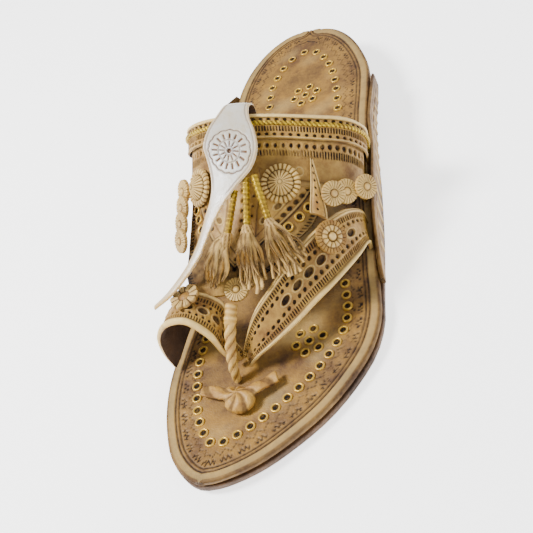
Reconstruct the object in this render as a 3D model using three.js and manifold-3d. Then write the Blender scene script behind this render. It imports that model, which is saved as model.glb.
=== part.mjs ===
// A tasselled toe-loop sandal for the left foot, in millimetres.
// Toe towards -Y, heel towards +Y, big-toe side -X, +Z up, standing on z = 0.
import * as THREE from 'three';
import { mergeVertices } from 'three/addons/utils/BufferGeometryUtils.js';
import Module from 'manifold-3d';

const wasm = await Module();
wasm.setup();

// ---------------------------------------------------------------- main sizes
const SOLE_LENGTH = 280;
const TOP_SOLE = 3.6;          // thickness of the leather the foot stands on
const OUTSOLE = 3.5;           // thickness of the tread leather
const SHANK = 1.6;             // extra thickness under the waist
const FIT_GAP = 0.3;           // space left between curved pieces
const FOREFOOT_HEIGHT = 7.2;   // ground to footbed under the ball
const HEEL_RISE = 14.5;        // footbed at the heel above footbed at the ball
const WEDGE_HEEL = 5.4;        // midsole wedge thickness under the heel
const TOE_SPRING = 3.0;        // lift of the sole at the very tip
const RISE_FROM = -50;         // y where the footbed starts to climb
const RISE_TO = 55;            // y where the heel seat is reached
const WALL = 2.2;              // thickness of the upper leather
const OVERLAY = 1.3;           // thickness of the collar strip over the band
const FLAP_WALL = 2.2;         // thickness of the side flaps
const HEEL_BREAST = 50;        // y of the front face of the heel block

// Sole outline, one row per station from toe to heel: big-toe side, little-toe side.
const OUTLINE = [
  { y: -140, medial: 2.0, lateral: 5.0 },
  { y: -138.6, medial: -2.0, lateral: 11.0 },
  { y: -135, medial: -7.6, lateral: 18.6 },
  { y: -129, medial: -13.8, lateral: 27.6 },
  { y: -121, medial: -18.8, lateral: 36.4 },
  { y: -106, medial: -25.0, lateral: 49.8 },
  { y: -91, medial: -28.0, lateral: 59.2 },
  { y: -74, medial: -28.6, lateral: 66.0 },
  { y: -58, medial: -27.6, lateral: 67.4 },
  { y: -45, medial: -26.0, lateral: 65.2 },
  { y: -30, medial: -24.4, lateral: 62.0 },
  { y: 0, medial: -22.8, lateral: 57.2 },
  { y: 30, medial: -24.8, lateral: 52.2 },
  { y: 60, medial: -30.2, lateral: 47.0 },
  { y: 80, medial: -33.4, lateral: 44.6 },
  { y: 97, medial: -33.8, lateral: 41.6 },
  { y: 113, medial: -31.0, lateral: 35.0 },
  { y: 127, medial: -24.6, lateral: 26.0 },
  { y: 136, medial: -16.4, lateral: 16.6 },
  { y: 139.2, medial: -10.4, lateral: 9.8 },
  { y: 140, medial: -6.0, lateral: 5.0 },
];

// ---------------------------------------------------------------- small maths
const clamp01 = (t) => Math.min(1, Math.max(0, t));
const smooth = (t) => {
  const c = clamp01(t);
  return c * c * (3 - 2 * c);
};
const vec = (p) => new THREE.Vector3(p[0], p[1], p[2]);

// A side of the outline read at any y, through a smooth curve of the table.
function sideReader(side) {
  const points = OUTLINE.map((row) => new THREE.Vector3(row[side], row.y, 0));
  const curve = new THREE.CatmullRomCurve3(points, false, 'centripetal');
  const samples = curve.getPoints(500);
  return (y) => {
    const at = Math.min(139.99, Math.max(-139.99, y));
    let k = 1;
    while (k < samples.length - 1 && samples[k].y < at) k += 1;
    const a = samples[k - 1];
    const b = samples[k];
    const t = clamp01((at - a.y) / Math.max(1e-6, b.y - a.y));
    return a.x + (b.x - a.x) * t;
  };
}
const medialX = sideReader('medial');
const lateralX = sideReader('lateral');

const toeLift = (y) => TOE_SPRING * clamp01((-100 - y) / 40) ** 2;
const footbedZ = (y) => HEEL_RISE * smooth((y - RISE_FROM) / (RISE_TO - RISE_FROM)) + toeLift(y);
const wedgeT = (y) => WEDGE_HEEL * smooth((y + 48) / 84);
const topSoleUnder = (y) => footbedZ(y) - TOP_SOLE;
const outsoleOver = (y) => topSoleUnder(y) - Math.max(FIT_GAP, wedgeT(y) + 2 * FIT_GAP * smooth((y + 48) / 20));
const waist = (y) => smooth((y + 52) / 26) * smooth((60 - y) / 40);
const outsoleUnder = (y) => {
  const forward = -FOREFOOT_HEIGHT + toeLift(y);
  const aft = outsoleOver(y) - OUTSOLE - SHANK * waist(y);
  return y < -35 ? forward : Math.max(forward, aft);
};

// ---------------------------------------------------------------- builders
function solid(positions, indices) {
  const geometry = new THREE.BufferGeometry();
  geometry.setAttribute('position', new THREE.Float32BufferAttribute(positions, 3));
  geometry.setIndex(indices);
  return geometry;
}

// Skin through closed rings that all hold the same number of points; flat fans close the ends.
function loft(rings) {
  const positions = [];
  const indices = [];
  const n = rings[0].length;
  rings.forEach((ring) => ring.forEach((p) => positions.push(p.x, p.y, p.z)));
  for (let r = 0; r < rings.length - 1; r += 1) {
    for (let i = 0; i < n; i += 1) {
      const a = r * n + i;
      const b = r * n + ((i + 1) % n);
      indices.push(a, b, b + n);
      indices.push(a, b + n, a + n);
    }
  }
  for (const [r, flip] of [[0, true], [rings.length - 1, false]]) {
    const centre = new THREE.Vector3();
    rings[r].forEach((p) => centre.add(p));
    centre.multiplyScalar(1 / n);
    const c = positions.length / 3;
    positions.push(centre.x, centre.y, centre.z);
    for (let i = 0; i < n; i += 1) {
      const a = r * n + i;
      const b = r * n + ((i + 1) % n);
      if (flip) indices.push(c, b, a);
      else indices.push(c, a, b);
    }
  }
  return outward(solid(positions, indices));
}

// Turn every face over when the body came out inside out.
function outward(geometry) {
  const p = geometry.attributes.position;
  const index = geometry.index.array;
  let volume = 0;
  const a = new THREE.Vector3();
  const b = new THREE.Vector3();
  const c = new THREE.Vector3();
  for (let i = 0; i < index.length; i += 3) {
    a.fromBufferAttribute(p, index[i]);
    b.fromBufferAttribute(p, index[i + 1]);
    c.fromBufferAttribute(p, index[i + 2]);
    volume += a.dot(b.cross(c)) / 6;
  }
  if (volume < 0) {
    for (let i = 0; i < index.length; i += 3) {
      const keep = index[i + 1];
      index[i + 1] = index[i + 2];
      index[i + 2] = keep;
    }
  }
  return geometry;
}

// One layer of the sole between two height functions, with small edge bevels.
function layer({ from, to, grow, top, under, bevel, rows, roundFrom, roundTo, taper = 0 }) {
  const rings = [];
  const across = 1;
  for (let k = 0; k <= rows; k += 1) {
    let t = k / rows;
    if (roundFrom && roundTo) t = (1 - Math.cos(Math.PI * t)) / 2;
    else if (roundFrom) t = 1 - Math.cos((Math.PI / 2) * t);
    else if (roundTo) t = Math.sin((Math.PI / 2) * t);
    const y = from + (to - from) * t;
    const reach = (SOLE_LENGTH / 2) / Math.max(Math.abs(y), SOLE_LENGTH / 2 + grow(y));
    const x0 = medialX(y * reach) - grow(y);
    const x1 = lateralX(y * reach) + grow(y);
    const y0 = y - taper * ((y - from) / (to - from)) ** 2;
    const z1 = top(y);
    const z0 = under(y0);
    const bv = Math.min(bevel, (z1 - z0) * 0.4, (x1 - x0) * 0.3);
    const tp = Math.min(taper, (x1 - x0) * 0.3);
    const ring = [];
    for (let i = 0; i <= across; i += 1) {
      ring.push(new THREE.Vector3(x0 + bv + ((x1 - x0 - 2 * bv) * i) / across, y, z1));
    }
    ring.push(new THREE.Vector3(x1, y, z1 - bv));
    ring.push(new THREE.Vector3(x1 - tp, y0, z0 + bv));
    for (let i = across; i >= 0; i -= 1) {
      ring.push(new THREE.Vector3(x0 + tp + bv + ((x1 - x0 - 2 * tp - 2 * bv) * i) / across, y0, z0));
    }
    ring.push(new THREE.Vector3(x0 + tp, y0, z0 + bv));
    ring.push(new THREE.Vector3(x0, y, z1 - bv));
    rings.push(ring);
  }
  return loft(rings);
}

// A leather sheet: its outer face runs smoothly through stations, each a row of points,
// and is thickened inwards by the wall. at(u, v) reads the outer face and its normal:
// u runs along the stations, v across each one. lift raises the whole face off its points.
function sheet(stations, { along, across, wall, lift = 0 }) {
  const rails = stations[0].map(
    (_, k) => new THREE.CatmullRomCurve3(stations.map((row) => vec(row[k])), false, 'centripetal'),
  );
  const bare = (u, v) => {
    const row = rails.map((rail) => rail.getPoint(clamp01(u)));
    return new THREE.CatmullRomCurve3(row, false, 'centripetal').getPoint(clamp01(v));
  };
  const normal = (u, v) => {
    const e = 0.012;
    const du = bare(Math.min(1, u + e), v).sub(bare(Math.max(0, u - e), v));
    const dv = bare(u, Math.min(1, v + e)).sub(bare(u, Math.max(0, v - e)));
    return dv.cross(du).normalize();
  };
  const at = (u, v, out = 0) => {
    const n = normal(u, v);
    return { point: bare(u, v).addScaledVector(n, lift + out), normal: n };
  };
  const positions = [];
  const indices = [];
  const cols = across + 1;
  const count = (along + 1) * cols;
  for (const depth of [0, wall]) {
    for (let i = 0; i <= along; i += 1) {
      for (let j = 0; j <= across; j += 1) {
        const p = at(i / along, j / across, -depth).point;
        positions.push(p.x, p.y, p.z);
      }
    }
  }
  for (let i = 0; i < along; i += 1) {
    for (let j = 0; j < across; j += 1) {
      const a = i * cols + j;
      const b = a + 1;
      const c = a + cols;
      const d = c + 1;
      indices.push(a, c, d, a, d, b);
      indices.push(count + a, count + d, count + c, count + a, count + b, count + d);
    }
  }
  const rim = [];
  for (let j = 0; j < across; j += 1) rim.push([j, j + 1]);
  for (let i = 0; i < along; i += 1) rim.push([i * cols + across, (i + 1) * cols + across]);
  for (let j = across; j > 0; j -= 1) rim.push([along * cols + j, along * cols + j - 1]);
  for (let i = along; i > 0; i -= 1) rim.push([i * cols, (i - 1) * cols]);
  for (const [a, b] of rim) indices.push(a, b, count + b, a, count + b, count + a);
  return { geometry: outward(solid(positions, indices)), at };
}

function toManifold(geometry) {
  const bare = new THREE.BufferGeometry();
  bare.setAttribute('position', geometry.attributes.position.clone());
  if (geometry.index) bare.setIndex(geometry.index.clone());
  const merged = mergeVertices(bare, 1e-4);
  return new wasm.Manifold(new wasm.Mesh({
    numProp: 3,
    vertProperties: new Float32Array(merged.attributes.position.array),
    triVerts: new Uint32Array(merged.index.array),
  }));
}

function fromManifold(body) {
  const mesh = body.getMesh();
  return solid(Array.from(mesh.vertProperties), Array.from(mesh.triVerts));
}

// Turn a piece modelled about the origin with +Z outwards so it sits on a place of the upper.
function seat(geometry, place, lift = FIT_GAP, spin = 0) {
  const turn = new THREE.Quaternion().setFromUnitVectors(new THREE.Vector3(0, 0, 1), place.normal);
  const base = place.point.clone().addScaledVector(place.normal, lift);
  const matrix = new THREE.Matrix4().compose(base, turn, new THREE.Vector3(1, 1, 1));
  matrix.multiply(new THREE.Matrix4().makeRotationZ(spin));
  return geometry.applyMatrix4(matrix);
}

// A round turned piece from a short profile of [radius, height] points, base on z = 0.
function turned(profile, segments) {
  const points = profile.map(([r, z]) => new THREE.Vector2(r, z));
  const geometry = new THREE.LatheGeometry(points, segments);
  geometry.rotateX(Math.PI / 2);
  return outward(mergeVertices(positionOnly(geometry), 1e-4));
}

function positionOnly(geometry) {
  const bare = new THREE.BufferGeometry();
  bare.setAttribute('position', geometry.attributes.position.clone());
  if (geometry.index) bare.setIndex(geometry.index.clone());
  return bare;
}

// A round rod along a smooth path, radius read from a short list along it.
function rod(path, radii, sides, steps) {
  const curve = new THREE.CatmullRomCurve3(path.map(vec), false, 'centripetal');
  const rings = [];
  const up = new THREE.Vector3(0.13, 0.21, 1).normalize();
  for (let k = 0; k <= steps; k += 1) {
    const t = k / steps;
    const centre = curve.getPoint(t);
    const dir = curve.getTangent(t);
    const sideways = new THREE.Vector3().crossVectors(up, dir).normalize();
    const upward = new THREE.Vector3().crossVectors(dir, sideways).normalize();
    const place = t * (radii.length - 1);
    const low = Math.min(radii.length - 2, Math.floor(place));
    const r = radii[low] + (radii[low + 1] - radii[low]) * (place - low);
    const ring = [];
    for (let i = 0; i < sides; i += 1) {
      const a = (2 * Math.PI * i) / sides;
      ring.push(centre.clone().addScaledVector(sideways, r * Math.cos(a)).addScaledVector(upward, r * Math.sin(a)));
    }
    rings.push(ring);
  }
  return loft(rings);
}

// ---------------------------------------------------------------- sole pieces
const soleGrow = () => 0;
const outsoleGrow = (y) => 0.4 + 1.4 * waist(y) - 1.6 * smooth((y - 50) / 40);

const topSole = layer({
  from: -139.9, to: 139.9, grow: soleGrow, top: footbedZ, under: topSoleUnder, bevel: 0.8, rows: 54,
  roundFrom: true, roundTo: true,
});
const outsole = layer({
  from: -140.3, to: 138.7, grow: outsoleGrow, top: outsoleOver, under: outsoleUnder, bevel: 0.5, rows: 54,
  roundFrom: true, roundTo: true,
});
const wedge = layer({
  from: -26, to: 139.2, grow: () => -0.6, top: (y) => topSoleUnder(y) - FIT_GAP,
  under: (y) => outsoleOver(y) + FIT_GAP, bevel: 0.3, rows: 30, roundFrom: false, roundTo: true,
});
const heelBlock = layer({
  from: HEEL_BREAST, to: 138.6, grow: () => -1.4, top: (y) => outsoleUnder(y) - FIT_GAP,
  under: () => -FOREFOOT_HEIGHT, bevel: 0.5, rows: 16, roundFrom: false, roundTo: true, taper: 3.5,
});

// Side flaps rising from the waist of the sole: height of each top edge along y.
const FLAP_TOP = [
  { y: -38, lateral: 0.6, medial: 0.6, spreadLateral: 0, spreadMedial: 0 },
  { y: -26, lateral: 7.2, medial: 7.2, spreadLateral: 0.2, spreadMedial: 0.2 },
  { y: -14, lateral: 14.0, medial: 14.0, spreadLateral: 0.4, spreadMedial: 0.4 },
  { y: -3, lateral: 18.8, medial: 19.0, spreadLateral: 1.0, spreadMedial: 0.6 },
  { y: 8, lateral: 21.2, medial: 21.4, spreadLateral: 1.8, spreadMedial: 1.2 },
  { y: 22, lateral: 21.2, medial: 22.4, spreadLateral: 2.0, spreadMedial: 1.8 },
  { y: 36, lateral: 20.0, medial: 22.6, spreadLateral: 1.4, spreadMedial: 2.4 },
  { y: 52, lateral: 18.4, medial: 22.0, spreadLateral: 0, spreadMedial: 3.8 },
  { y: 66, lateral: 17.2, medial: 20.6, spreadLateral: 0, spreadMedial: 4.2 },
  { y: 78, lateral: 16.4, medial: 18.4, spreadLateral: 0, spreadMedial: 3.2 },
  { y: 90, lateral: 14.4, medial: 14.4, spreadLateral: 0, spreadMedial: 0.4 },
];

function flapRow(key, y) {
  let k = 1;
  while (k < FLAP_TOP.length - 1 && FLAP_TOP[k].y < y) k += 1;
  const a = FLAP_TOP[k - 1];
  const b = FLAP_TOP[k];
  return a[key] + (b[key] - a[key]) * clamp01((y - a.y) / (b.y - a.y));
}

function sideFlap(side) {
  const sign = side === 'lateral' ? 1 : -1;
  const edge = side === 'lateral' ? lateralX : medialX;
  const spreadKey = side === 'lateral' ? 'spreadLateral' : 'spreadMedial';
  const rings = [];
  const rows = 24;
  const levels = 3;
  const first = FLAP_TOP[0].y;
  const last = FLAP_TOP[FLAP_TOP.length - 1].y;
  for (let k = 0; k <= rows; k += 1) {
    const y = first + ((last - first) * k) / rows;
    const low = outsoleOver(y) + FIT_GAP;
    const high = Math.max(low + 2.2, flapRow(side, y));
    const spread = flapRow(spreadKey, y);
    const inner = (z) => edge(y) + sign * (FIT_GAP + 0.1 + spread * smooth((z - low) / (high - low)));
    const ring = [];
    for (let i = 0; i <= levels; i += 1) {
      const z = low + ((high - low) * i) / levels;
      ring.push(new THREE.Vector3(inner(z) + sign * FLAP_WALL, y, z));
    }
    for (let i = levels; i >= 0; i -= 1) {
      const z = low + ((high - low) * i) / levels;
      ring.push(new THREE.Vector3(inner(z), y, z));
    }
    rings.push(ring);
  }
  return loft(rings);
}

// ---------------------------------------------------------------- the upper
// Every station is read across from the heel-side edge to the toe-side edge.
// Instep band, big-toe side to little-toe side.
const BAND = [
  { rear: [-22.8, 46, 15.0], mid: [-21.6, 27, 13.6], front: [-20.8, 2, 8.8] },
  { rear: [-26.0, 40, 26], mid: [-24.6, 22, 24.4], front: [-23.0, -2, 21] },
  { rear: [-27.8, 29.4, 38.8], mid: [-26.4, 14, 36.2], front: [-24.2, -8, 32.0] },
  { rear: [-23.8, 18.6, 52.6], mid: [-22.6, 5.8, 47.2], front: [-20.4, -13, 39.8] },
  { rear: [-11.0, 9.6, 64.4], mid: [-10.0, -1.2, 57.4], front: [-8.4, -17.6, 48.0] },
  { rear: [8, 6.4, 67.8], mid: [9, -4, 60.8], front: [10, -20, 49.6] },
  { rear: [25, 6.4, 65.6], mid: [26, -3.4, 58.4], front: [28, -19.4, 46.2] },
  { rear: [43.0, 9.3, 58.8], mid: [43.2, -0.4, 51.2], front: [44.0, -16.8, 38.2] },
  { rear: [54.2, 14.6, 50.4], mid: [53.8, 4.6, 42.8], front: [52.6, -12.4, 30.2] },
  { rear: [57.4, 21, 38.4], mid: [57.4, 10.4, 31.4], front: [56.6, -7.2, 22.6] },
  { rear: [52.2, 29, 22.6], mid: [54.0, 17, 19.6], front: [56.2, -3, 15.4] },
  { rear: [50.2, 33, 14.6], mid: [52.2, 20, 12.6], front: [54.8, 1, 8.8] },
];
// Where the vamp leaves the band: positions along the band for its five rails.
const VAMP_RAILS = [0.29, 0.38, 0.47, 0.57, 0.66];
// Vamp rows beyond the band, each from the big-toe side to the little-toe side.
const VAMP = [
  [[-19, -27, 36], [-4, -29, 42], [12, -30, 43], [27, -30, 39.6], [43, -28, 31.4]],
  [[-17.4, -42, 32.4], [-4, -42, 36.6], [11, -42, 36.8], [23, -42, 34], [33.4, -41, 30]],
  [[-14, -56, 32], [-3.6, -55, 33.4], [9, -53, 31.2], [17, -52.6, 29.8], [24.6, -52, 28]],
  [[-7, -66, 32.6], [1.6, -65, 29], [7.6, -63.4, 27.2], [11, -62.8, 26.4], [14.6, -62, 25.6]],
];
// Strap from the little-toe side of the waist to the thong.
const OUTER_STRAP = [
  { rear: [55.6, -8.4, 7.2], mid: [57.0, -15.5, 5.4], front: [59.2, -23.5, 3.6] },
  { rear: [56.6, -11.5, 18], mid: [58.2, -18.5, 13.6], front: [60.2, -25, 9.6] },
  { rear: [53.0, -22.5, 30], mid: [55.8, -29, 21.9], front: [58.2, -35.5, 12.6] },
  { rear: [42.6, -39, 33.8], mid: [46.5, -46, 25.4], front: [51, -52, 15.2] },
  { rear: [34.8, -50.4, 32.2], mid: [39.4, -56, 24.8], front: [44.6, -62, 15.8] },
  { rear: [28.4, -61.6, 30], mid: [33, -66.2, 23.2], front: [38, -72, 15.8] },
  { rear: [20.6, -72.2, 25], mid: [24.6, -76.4, 19], front: [28.2, -80.6, 13.4] },
  { rear: [14.2, -77.6, 15.4], mid: [16.8, -80.8, 12], front: [18.8, -84.6, 8.6] },
  { rear: [8.6, -80.4, 4.6], mid: [11.0, -82.6, 4.0], front: [13.2, -85.4, 3.4] },
];
// Loop over the big toe, thong side first, running back along the big-toe side.
const TOE_LOOP = [
  { rear: [10.4, -79.2, 3.4], mid: [8.2, -81.6, 3.3], front: [6.0, -84.0, 3.2] },
  { rear: [4.6, -73, 14.0], mid: [4.2, -78.6, 13.6], front: [3.8, -84.2, 12.8] },
  { rear: [4.0, -65, 24.4], mid: [2.8, -74, 24.2], front: [1.6, -83.6, 24.6] },
  { rear: [-6.6, -64, 31.8], mid: [-6.6, -72.8, 32.4], front: [-5.8, -82.4, 33.4] },
  { rear: [-16.6, -63.4, 29.2], mid: [-17.6, -72, 30], front: [-17.6, -81.6, 30.6] },
  { rear: [-23.2, -60, 20.2], mid: [-25.2, -71, 21], front: [-25.6, -82.2, 21.4] },
  { rear: [-25.0, -52, 9.6], mid: [-27.2, -67.5, 10.6], front: [-27.4, -83.6, 10.8] },
  { rear: [-23.8, -45, 3.4], mid: [-25.4, -65, 3.3], front: [-25.4, -85.2, 3.2] },
];

const across = (row) => [row.rear, row.mid, row.front];
const flat = (p) => [p.x, p.y, p.z];

const band = sheet(BAND.map(across), { along: 36, across: 5, wall: WALL });
const collarStrip = sheet(
  Array.from({ length: 25 }, (_, k) => {
    const u = 0.03 + (0.94 * k) / 24;
    return [0, 0.22, 0.46].map((v) => flat(band.at(u, v, OVERLAY + FIT_GAP + 0.2).point));
  }),
  { along: 36, across: 3, wall: OVERLAY },
);
const vampRows = [
  VAMP_RAILS.map((u) => flat(band.at(u, 0.5, 0.15).point)),
  VAMP_RAILS.map((u) => flat(band.at(u, 0.9, 0.2).point)),
  ...VAMP,
];
const vamp = sheet(vampRows.map((row) => [...row].reverse()), { along: 18, across: 9, wall: WALL });
const outerStrap = sheet(OUTER_STRAP.map((row) => across(row).reverse()), { along: 28, across: 5, wall: WALL });
const toeLoop = sheet(TOE_LOOP.map((row) => across(row).reverse()), { along: 28, across: 5, wall: WALL });

const upper = fromManifold(
  toManifold(band.geometry)
    .add(toManifold(vamp.geometry))
    .add(toManifold(outerStrap.geometry))
    .add(toManifold(toeLoop.geometry)),
);

// ---------------------------------------------------------------- tongue
// From inside the collar, over its edge and down over the vamp to a long free tail:
// centre line, half width, and how far the big-toe edge stands above the other.
const TONGUE = [
  { at: [12.4, -3, 55.6], half: 5.6, tilt: 0 },
  { at: [12.4, 5, 59.6], half: 5.6, tilt: 0 },
  { at: [12.4, 10.6, 63.6], half: 5.6, tilt: 0.2 },
  { at: [12.4, 11.8, 69.0], half: 5.6, tilt: 0.6 },
  { at: [12.4, 7.6, 72.6], half: 5.8, tilt: 1.0 },
  { at: [12.4, 0.5, 72.8], half: 7.4, tilt: 1.6 },
  { at: [12.7, -7, 71.2], half: 10.6, tilt: 2.2 },
  { at: [13, -15, 68.0], half: 12.4, tilt: 2.4 },
  { at: [12.4, -20.6, 64.8], half: 11.2, tilt: 2.2 },
  { at: [10.2, -26.8, 61.2], half: 7.4, tilt: 1.4 },
  { at: [7.4, -33, 57.2], half: 4.4, tilt: 0.8 },
  { at: [2.8, -41.4, 51.8], half: 2.9, tilt: 0.4 },
  { at: [-4, -54, 43.6], half: 2.3, tilt: 0.2 },
  { at: [-15.4, -67, 36.8], half: 2.0, tilt: 0 },
  { at: [-25.7, -71.6, 31.6], half: 1.3, tilt: 0 },
];
const TONGUE_WALL = 1.6;

const tongueRows = TONGUE.map((row, k) => {
  const before = vec(TONGUE[Math.max(0, k - 1)].at);
  const after = vec(TONGUE[Math.min(TONGUE.length - 1, k + 1)].at);
  const run = after.sub(before).setZ(0).normalize();
  const side = k < 6 ? new THREE.Vector3(1, 0, 0) : new THREE.Vector3(-run.y, run.x, 0);
  const centre = vec(row.at);
  return [-1, 0, 1].map((s) => {
    const p = centre.clone().addScaledVector(side, s * row.half);
    p.z += -s * row.tilt + 0.35 * (1 - s * s);
    return flat(p);
  });
});
const tongue = sheet(tongueRows.map((row) => [...row].reverse()), { along: 42, across: 4, wall: TONGUE_WALL });

// ---------------------------------------------------------------- thong and knot
const THONG_PATH = [[10.4, -68.8, 27.6], [9.8, -75.4, 23.6], [8.8, -83.4, 16], [7.8, -89, 7], [7.5, -90.6, 1.2]];
const toeThong = rod(THONG_PATH, [2.7, 3.1, 3.1, 2.8, 2.3], 10, 14);

// The thong ends in a flat knot in front of its hole: a buried strip, the knot and two tails.
function knot() {
  const body = new THREE.SphereGeometry(1, 14, 7);
  body.scale(7.4, 6.2, 3.6);
  body.translate(12.6, -102.2, 3.2);
  const bump = new THREE.SphereGeometry(1, 12, 6);
  bump.scale(9.2, 2.6, 2.4);
  bump.translate(9.0, -97.2, 2.0);
  const tailMedial = sheet(
    [
      [[8.4, -97.6, 4.2], [8.4, -100.4, 4.6], [8.4, -103.2, 4.2]],
      [[0, -95.6, 2.7], [0, -98.4, 3.0], [0, -101.2, 2.7]],
      [[-7.8, -94.6, 2.1], [-7.8, -97.0, 2.3], [-7.8, -99.4, 2.1]],
    ],
    { along: 6, across: 2, wall: 1.6 },
  );
  const tailLateral = sheet(
    [
      [[26.4, -88.0, 2.7], [27.6, -90.4, 2.9], [28.8, -92.8, 2.7]],
      [[19.6, -93.4, 3.6], [20.6, -95.8, 3.9], [21.6, -98.2, 3.6]],
      [[13, -98.8, 4.6], [14, -101.2, 4.9], [15, -103.6, 4.6]],
    ],
    { along: 6, across: 2, wall: 1.6 },
  );
  return fromManifold(
    toManifold(body).add(toManifold(bump)).add(toManifold(tailMedial.geometry)).add(toManifold(tailLateral.geometry))
      .subtract(toManifold(slab(-60, 60, -130, -60, -10, FIT_GAP))),
  );
}

// A plain block used to trim pieces level.
function slab(x0, x1, y0, y1, z0, z1) {
  const box = new THREE.BoxGeometry(x1 - x0, y1 - y0, z1 - z0);
  box.translate((x0 + x1) / 2, (y0 + y1) / 2, (z0 + z1) / 2);
  return box;
}

// ---------------------------------------------------------------- ornaments
const DOME = [[0, 0], [7.4, 0], [8.8, 0.5], [8.8, 1.5], [6.4, 1.9], [5.9, 3.4], [4.4, 4.8], [2.2, 5.5], [0, 5.7]];
const COIN = [[0, 0], [5.2, 0], [5.5, 0.4], [5.5, 1.2], [5.0, 1.6], [0, 1.9]];
const FLOWER = [[0, 0], [6.9, 0], [7.4, 0.6], [7.2, 1.7], [5.4, 2.3], [3.4, 1.6], [2.6, 2.6], [0, 3.2]];
const BUTTON = [[0, 0], [5.0, 0], [5.3, 0.5], [5.0, 1.3], [0, 1.6]];
const TOE_ROSE = [[0, 0], [6.2, 0], [6.8, 0.5], [6.6, 1.3], [3.6, 1.9], [2.4, 1.4], [0, 1.6]];

const COIN_TILT = 0.28;        // each coin leans so that its edge rides over the one before

// Loose place in space with an outward direction, for discs that hang free of the leather.
const place = (p, n) => ({ point: vec(p), normal: vec(n).normalize() });

// A row of overlapping coins: every one tips towards the next, so the next one laps over it.
function shingle(spots) {
  return spots.map((spot, k) => {
    const from = spots[Math.max(0, k - 1)].point;
    const to = spots[Math.min(spots.length - 1, k + 1)].point;
    const along = to.clone().sub(from).normalize();
    return { point: spot.point, normal: spot.normal.clone().addScaledVector(along, COIN_TILT).normalize() };
  });
}
const coinsLateral = shingle([
  place([49.0, -18.4, 36.6], [0.5, -0.6, 0.62]),
  place([53.6, -12.4, 31.2], [0.56, -0.58, 0.6]),
  place([58.8, -6.4, 26.6], [0.62, -0.54, 0.58]),
]);
const coinsMedial = shingle([
  place([-20.6, -13.0, 43.4], [-0.6, -0.3, 0.74]),
  place([-20.4, -20.6, 40.4], [-0.6, -0.3, 0.74]),
  place([-20.0, -28.4, 37.8], [-0.6, -0.3, 0.74]),
  place([-19.2, -36.4, 34.8], [-0.6, -0.3, 0.74]),
]);

// Move a piece out along its place's direction until it clears the bodies around it.
function settle(make, spot, bodies) {
  const step = 0.2;
  let lift = 0;
  const touches = (h) => {
    const body = toManifold(seat(make(), spot, h));
    return bodies.some((other) => body.intersect(other).volume() > 1e-5);
  };
  while (lift < 8 && touches(lift)) lift += step;
  return seat(make(), spot, lift + FIT_GAP);
}

// Folded strip that runs from the band down to the flower on the outer strap.
const ARROW = [
  [[42.2, -7.6, 49.6], [43.0, -7.8, 49.5], [43.8, -8.0, 48.8]],
  [[42.2, -17, 44.0], [44.6, -17.4, 43.4], [46.8, -17.8, 41.4]],
  [[42.4, -25.6, 40.2], [46.0, -26.2, 39.4], [49.6, -26.8, 36.6]],
  [[43.0, -30.4, 39.2], [47.0, -31, 38.2], [50.6, -31.6, 35.0]],
];
const arrow = sheet(ARROW.map((row) => [...row].reverse()), { along: 8, across: 4, wall: 1.8 });

// Three tubes from under the tongue, each with its tassel: top, bottom, tassel end.
const TASSELS = [
  { top: [13.2, -34.4, 54.6], bottom: [10.6, -46.6, 45.9], end: [1.8, -62.0, 39.6], spread: 5.2 },
  { top: [19.6, -27.4, 57.6], bottom: [19.2, -43.4, 45.6], end: [21.6, -61.6, 35.4], spread: 6.6 },
  { top: [23.6, -25.6, 58.0], bottom: [29.7, -41.4, 45.8], end: [37.4, -56.6, 39.6], spread: 6.2 },
];
const TUBE_R = 1.75;

// ---------------------------------------------------------------- assembly
const MATERIALS = {
  tan: { color: 0xb98f55, roughness: 0.62, metalness: 0 },
  pale: { color: 0xcdb78c, roughness: 0.55, metalness: 0 },
  edge: { color: 0x4a3524, roughness: 0.8, metalness: 0 },
  gold: { color: 0xc79a2e, roughness: 0.35, metalness: 0.8 },
};

const pieces = [];
const add = (name, geometry, material) => pieces.push({ name, geometry, material });

add('outsole', outsole, 'edge');
add('heel_block', heelBlock, 'edge');
add('midsole_wedge', wedge, 'tan');
add('top_sole', topSole, 'tan');
add('side_flap_lateral', sideFlap('lateral'), 'tan');
add('side_flap_medial', sideFlap('medial'), 'tan');
add('upper', upper, 'pale');
add('collar_strip', collarStrip.geometry, 'pale');
add('tongue', tongue.geometry, 'pale');
add('toe_thong', toeThong, 'pale');
add('thong_knot', knot(), 'pale');
add('arrow_strip', arrow.geometry, 'pale');

// Everything an ornament must stay clear of, growing as ornaments are set down.
const around = pieces.slice(6).map(({ geometry }) => toManifold(geometry));
function ornament(name, profile, segments, spot) {
  const geometry = settle(() => turned(profile, segments), spot, around);
  around.push(toManifold(geometry));
  add(name, geometry, 'pale');
}
ornament('thong_button', BUTTON, 16, { point: vec([10.9, -61.2, 27.0]), normal: vamp.at(0.93, 0.46).normal });
ornament('dome_rosette_lateral', DOME, 20, vamp.at(0.235, 0.28));
ornament('dome_rosette_medial', DOME, 20, vamp.at(0.235, 0.83));
ornament('toe_rosette', TOE_ROSE, 18, toeLoop.at(0.47, 0.72));
ornament('flower_stud', FLOWER, 20, { point: vec([49.4, -36.4, 28.4]), normal: outerStrap.at(0.31, 0.6).normal });
coinsLateral.forEach((spot, k) => ornament(`coin_lateral_${k + 1}`, COIN, 16, spot));
coinsMedial.forEach((spot, k) => ornament(`coin_medial_${k + 1}`, COIN, 16, spot));
TASSELS.forEach(({ top, bottom, end, spread }, k) => {
  add(`gold_tube_${k + 1}`, rod([top, bottom], [TUBE_R, TUBE_R], 12, 2), 'gold');
  const start = vec(bottom).lerp(vec(top), -0.06);
  const mid = vec(bottom).lerp(vec(end), 0.5);
  add(`tassel_${k + 1}`, rod([flat(start), flat(mid), end], [2.2, spread * 0.8, spread * 0.72], 12, 6), 'pale');
});

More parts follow.
